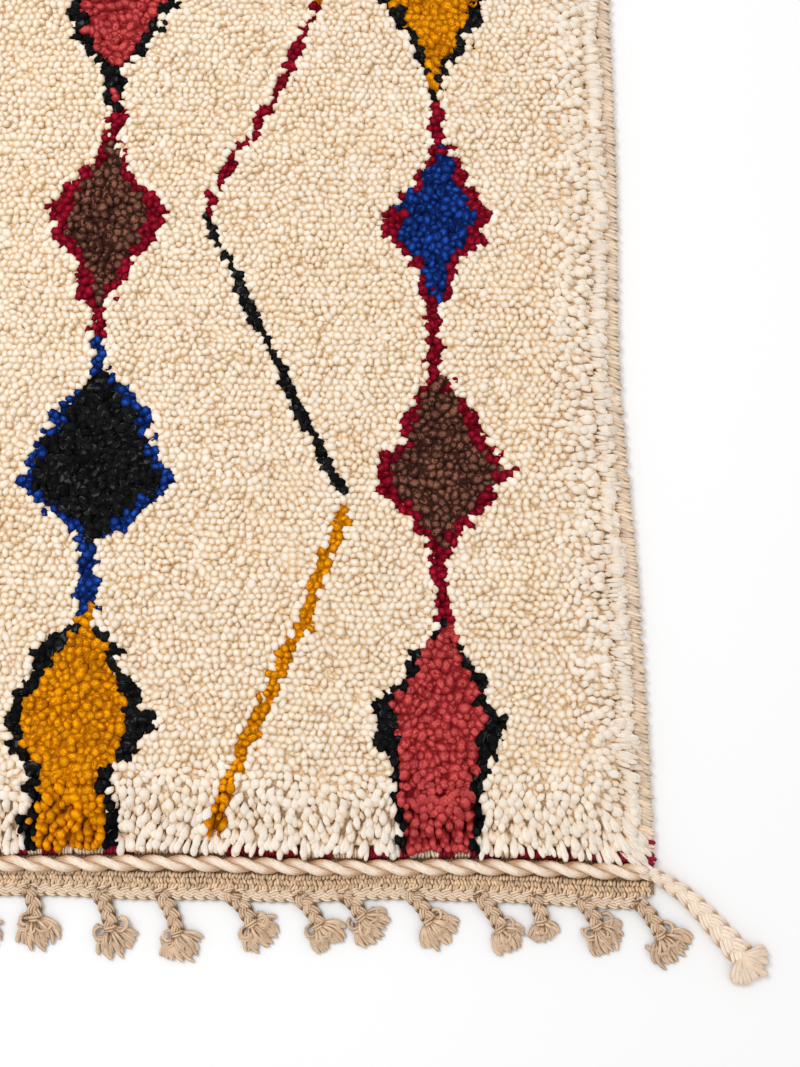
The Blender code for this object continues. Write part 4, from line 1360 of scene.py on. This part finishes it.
def plait(route, breadth, depth, turn, threads, girth, start=0.0):
    """Lines for three bunches of threads that are plaited along a flat route."""
    heading = unit(np.gradient(route, axis=0) * np.array([1, 1, 0]))
    square = turned_left(heading)
    run = run_along(route)
    breadth, depth, girth = (np.broadcast_to(value, run.shape) for value in (breadth, depth, girth))
    lines, low = [], []
    for bunch in range(3):
        phase = math.tau * (run / turn + bunch / 3) + start
        middle = route + square * (breadth * np.sin(phase))[:, None]
        middle[:, 2] += depth * np.sin(2 * phase)
        across_bunch = turned_left(unit(np.gradient(middle, axis=0) * np.array([1, 1, 0])))
        for thread in range(threads):
            beside_middle = thread - (threads - 1) / 2
            line = middle + across_bunch * (beside_middle * girth * THREAD_SPACING)[:, None]
            line[:, 2] -= THREAD_DROP * girth * (2 * beside_middle / max(1, threads - 1)) ** 2
            lines.append(line)
            # How low the bunch lies; the finishes paint the low parts of a plait darker, as shade.
            low.append(0.5 - 0.5 * np.sin(2 * phase))
    return np.array(lines), np.array(low)


# %% The plaited edge of each strip
EDGE_PLAIT_WIDTH, EDGE_PLAIT_HEIGHT, EDGE_PLAIT_INSET = 0.0135, 0.0092, 0.0100
EDGE_PLAIT_TURN = 0.0360
EDGE_BREADTH, EDGE_DEPTH, EDGE_LIFT = 0.0031, 0.0017, 0.0004
EDGE_STEP = 0.0043
EDGE_GIRTH = 0.0016


def edge_plait_line(end, x):
    return heading_outer(end, x) + end * (EDGE_PLAIT_WIDTH / 2 + CURVED_CLEARANCE)


for end, name in ENDS:
    left, right = heading_reach(end, LEFT) + EDGE_PLAIT_INSET, heading_reach(end, RIGHT) - EDGE_PLAIT_INSET
    x = np.linspace(left, right, round((right - left) / EDGE_STEP))
    route = points(x, edge_plait_line(end, x), EDGE_PLAIT_HEIGHT / 2 + EDGE_LIFT)
    lines, low = plait(route, EDGE_BREADTH, EDGE_DEPTH, EDGE_PLAIT_TURN, 3, EDGE_GIRTH)
    spun_piece(
        f"edge_plait_{name}", "beige_wool", [f"edge_plait_{name}"], strand_tube(4, len(x)), lines,
        EDGE_GIRTH, EDGE_GIRTH, BEIGE_YARN, low=low,
    )

# %% [markdown]
# Each tassel is a short plait of the warp's own ends, tied off and cut, so that
# the ends spring open. Some open like a soft broom, and some curl back on
# themselves. The list gives where each one starts across the near end, how long
# its plait is, how far it is swept to the side and how far its cut ends reach.
# The far end has the same tassels, mirrored and swept less.

# %% The cut ends of a tassel
LOCK_SHARES = np.array([0.0, 0.16, 0.32, 0.48, 0.64, 0.80, 0.95, 1.0])
LOCK_SWELL = np.array([0.65, 0.80, 0.95, 1.05, 1.15, 1.20, 1.05, 0.60])
TIE_HALF_WIDTH = 0.0032
lock_tube = strand_tube(5, len(LOCK_SHARES))


def flat_turn(vector, degrees):
    angle = np.radians(degrees)
    x, y = vector[0], vector[1]
    return points(x * np.cos(angle) - y * np.sin(angle), x * np.sin(angle) + y * np.cos(angle), 0)


def spring_open(tie, forward, reach, angles, curls, girth, lift):
    """Lines and sizes of the cut ends that spring from a tie. Each starts off at
    its own angle and curls by its own number of degrees on the way."""
    lines, sizes = [], []
    steps = np.diff(LOCK_SHARES, prepend=0)
    for angle, curl in zip(angles, curls):
        long = reach * chance.uniform(0.80, 1.0) * (1 + abs(curl) / 200) * (1 - 0.22 * abs(angle) / 80)
        heading = flat_turn(forward, angle + curl * LOCK_SHARES**1.5)
        start = tie + flat_turn(forward, 90) * (TIE_HALF_WIDTH * np.sin(np.radians(angle)))
        line = start + (heading * (steps * long)[:, None]).cumsum(axis=0)
        size = girth * LOCK_SWELL * chance.uniform(0.85, 1.15)
        arch = chance.uniform(0.2, 1.0) * lift
        line[:, 2] = mix(tie[2], float(size[-2]), ease(LOCK_SHARES))
        line[:, 2] += arch * np.sin(math.pi * LOCK_SHARES**0.8)
        lines.append(line)
        sizes.append(size)
    return lines, sizes


# %% Plait the tassels
NEAR_TASSELS = (  # across, plait, sweep in degrees, lock reach
    (-0.381, 0.033, 24, 0.019), (-0.312, 0.037, 30, 0.020), (-0.2390, 0.026, 16, 0.021),
    (-0.1660, 0.036, 23, 0.020), (-0.1000, 0.040, 26, 0.019), (-0.0275, 0.034, 42, 0.019),
    (0.0435, 0.033, 41, 0.018), (0.0905, 0.026, 47, 0.019), (0.1605, 0.030, 40, 0.020),
    (0.2320, 0.036, 38, 0.016), (0.2885, 0.022, 20, 0.010), (0.3380, 0.027, 39, 0.019),
    (0.3980, 0.036, 39, 0.022),
)
FAR_SPREAD_SHARE, FAR_SWEEP_SHARE = 0.93, 0.7
PLAIT_HEIGHT, PLAIT_BEND_SHARE, PLAIT_SWAY, PLAIT_STARTS = 0.0105, 0.35, 0.0014, 1.3
PLAIT_BREADTH, PLAIT_DEPTH, PLAIT_WAIST, PLAIT_LIFT = 0.0043, 0.0019, 0.22, 0.0042
HEAD_RADIUS = 0.0078
TASSEL_TUCK = 0.0085
TASSEL_GIRTH, TASSEL_FLATNESS = 0.00165, 0.92
TASSEL_TURN = 0.034
PLAIT_POINTS = 17
THREADS = 3
BROOM_BACK, BROOM_CLOSES, BROOM_GIRTH = 0.002, 0.85, 0.0019
BROOMS = ((20, 80, 1.08, 0.0030), (11, 52, 0.84, 0.0085))  # ends, widest angle, reach, lift
CURLED, CURLED_REACH, CURLED_GIRTH, CURLED_LIFT = 9, 0.62, 0.0017, 0.0040
CURLED_UP = np.array([0, 0, 0.0030])
WRAP_POINTS, WRAP_GIRTH = 7, 0.0016
# Painted shade on the cut ends close to the tie.
PAINTED_SHADE_AT_TIE = (0.9, 0.5, 0.2, 0, 0, 0, 0, 0)
WRAP_BACKS, WRAP_HALF_WIDTH, WRAP_SLANT = (0.0004, 0.0036), 0.0062, 0.0012
WRAP_FOOT, WRAP_RISE = 0.0040, 0.0050
plait_tube, wrap_tube = strand_tube(5, PLAIT_POINTS), strand_tube(5, WRAP_POINTS)
round_neck = np.linspace(-0.1, 1.1, WRAP_POINTS) * math.pi

plaits, plait_lows, locks, lock_sizes, wraps, names = [], [], [], [], [], []
for end, end_name in ENDS:
    for number, (across_at, long, sweep, reach) in enumerate(NEAR_TASSELS, 1):
        if end == FAR:
            across_at, sweep = -across_at * FAR_SPREAD_SHARE, sweep * FAR_SWEEP_SHARE
        outward_y = np.array([0.0, end, 0.0])
        forward = flat_turn(outward_y, sweep)
        root = np.array([across_at, edge_plait_line(end, across_at) + end * EDGE_PLAIT_WIDTH / 2, 0.0])
        share = np.linspace(0, 1, PLAIT_POINTS)
        bend = ease(share / PLAIT_BEND_SHARE)[:, None]
        route = root + unit(mix(outward_y, forward, bend)) * (long * share)[:, None]
        route += flat_turn(forward, 90) * (PLAIT_SWAY * np.sin(math.pi * share))[:, None]
        route[:, 1] -= end * TASSEL_TUCK * (1 - share)
        route[:, 2] = PLAIT_HEIGHT / 2 + PLAIT_LIFT * (1 - share) ** 3
        waist = 1 - PLAIT_WAIST * share**4
        new, new_low = plait(
            route, PLAIT_BREADTH * waist, PLAIT_DEPTH, TASSEL_TURN, THREADS, TASSEL_GIRTH,
            start=number * PLAIT_STARTS,
        )
        plaits.extend(new)
        plait_lows.extend(new_low)
        tie, square = route[-1], flat_turn(forward, 90)
        for ends_in, widest, far_out, lift in BROOMS:
            broom = np.linspace(-widest, widest, ends_in) + chance.uniform(-5, 5, ends_in)
            new, new_sizes = spring_open(
                tie - forward * BROOM_BACK, forward, (HEAD_RADIUS + reach) * far_out, broom,
                -BROOM_CLOSES * broom + chance.normal(0, 16, ends_in), BROOM_GIRTH, lift,
            )
            locks, lock_sizes = locks + new, lock_sizes + new_sizes
        curled = chance.uniform(-60, 60, CURLED)
        curls = chance.choice([-1, 1], CURLED) * chance.uniform(110, 300, CURLED)
        new, new_sizes = spring_open(
            tie + CURLED_UP, forward, (HEAD_RADIUS + reach) * CURLED_REACH, curled, curls,
            CURLED_GIRTH, CURLED_LIFT,
        )
        locks, lock_sizes = locks + new, lock_sizes + new_sizes
        for back in WRAP_BACKS:
            wrap = tie - forward * back + square * (WRAP_HALF_WIDTH * np.cos(round_neck))[:, None]
            wrap += forward * (WRAP_SLANT * np.cos(round_neck))[:, None]
            wrap[:, 2] = WRAP_FOOT + WRAP_RISE * np.sin(round_neck)
            wraps.append(wrap)
        names.append(f"tassel_{end_name}_{number:02d}")
lock_sizes = np.array(lock_sizes)
for name, tube, lines, size, low in (
    ("tassel_plaits", plait_tube, plaits, TASSEL_GIRTH, np.array(plait_lows)),
    ("tassel_ends", lock_tube, locks, lock_sizes, np.tile(PAINTED_SHADE_AT_TIE, (len(locks), 1))),
    ("tassel_ties", wrap_tube, wraps, WRAP_GIRTH, np.zeros(len(wraps))),
):
    lines = np.array(lines)
    spun_piece(name, "beige_wool", names, tube, lines, size, size * TASSEL_FLATNESS, TASSEL_YARN, low=low)

# %% [markdown]
# At each corner the cord comes off the rug and goes on as a thick cream plait
# that curves away across the floor, gets thicker and ends in a few fat locks.

# %% The corner tails
TAIL_ROUTE = (  # out, away, underside
    (-0.010, -0.0010, 0.0060), (0, 0, 0.0055), (0.013, 0.0050, 0.0048), (0.027, 0.0140, 0.0002),
    (0.043, 0.0250, 0), (0.058, 0.0400, 0), (0.072, 0.0560, 0), (0.086, 0.0720, 0), (0.099, 0.0865, 0),
)
TAIL_POINTS = 34
TAIL_GIRTH = 0.0019
TAIL_TURN = 0.050
TAIL_THREADS = 4
TAIL_HEAD, TAIL_LOCK_REACH = 0.0100, 0.021
TAIL_LOCKS = (
    -72, -64, -56, -48, -38, -30, -20, -12, -5, 2, 9, 17, 28, 36, 46, 54, 62, 70, -60, -34, -8, 14, 40, 58
)
TAIL_MIDDLE, TAIL_GROWTH, TAIL_FLATNESS = 0.0060, (0.62, 1.34), 0.9
TAIL_BREADTH, TAIL_DEPTH = 0.0043, 0.0021
TAIL_LOCK_GIRTH, TAIL_LOCK_LIFT = 0.0031, 0.0070
TAIL_BACK, TAIL_CLOSES = 0.003, 0.35
SMOOTHINGS = 4
tail_tube = strand_tube(5, TAIL_POINTS)
for end, end_name in ENDS:
    for side, side_name in SIDES:
        start = cord_reach(end, side)
        stations = np.array(TAIL_ROUTE, float)
        stations[:, 0] = start + side * (CLEARANCE + stations[:, 0])
        stations[:, 1] = cord_line(end, start) + end * stations[:, 1]
        stations[:, 2] += TAIL_MIDDLE
        run = run_along(stations)
        at = np.linspace(0, run[-1], TAIL_POINTS)
        route = np.stack([np.interp(at, run, stations[:, k]) for k in range(3)], axis=1)
        for _ in range(SMOOTHINGS):
            route[1:-1] = (route[:-2] + 2 * route[1:-1] + route[2:]) / 4
        grow = mix(*TAIL_GROWTH, at / run[-1])
        lines, low = plait(
            route, TAIL_BREADTH * grow, TAIL_DEPTH * grow, TAIL_TURN, TAIL_THREADS, TAIL_GIRTH * grow,
            start=side,
        )
        forward = unit(route[-1] - route[-4])
        angles = np.array(TAIL_LOCKS) + chance.uniform(-3, 3, len(TAIL_LOCKS))
        brush, brush_sizes = spring_open(
            route[-1] - forward * TAIL_BACK, forward, TAIL_HEAD + TAIL_LOCK_REACH, angles,
            -angles * TAIL_CLOSES + chance.normal(0, 9, len(angles)), TAIL_LOCK_GIRTH, TAIL_LOCK_LIFT,
        )
        label = f"cord_tail_{end_name}_{side_name}"
        # The low note paints shade on the tail plait's low threads, less than on the cord, and darkens the
        # brush evenly a little.
        for part, tube, lines, size, low in (
            ("plait", tail_tube, lines, np.broadcast_to(TAIL_GIRTH * grow, lines.shape[:2]), low * 0.65),
            ("brush", lock_tube, np.array(brush), np.array(brush_sizes), np.full(len(brush), 0.30)),
        ):
            flat = size * TAIL_FLATNESS
            spun_piece(f"{label}_{part}", "cord_wool", [label], tube, lines, size, flat, CORD_YARN, low=low)

# %% [markdown]
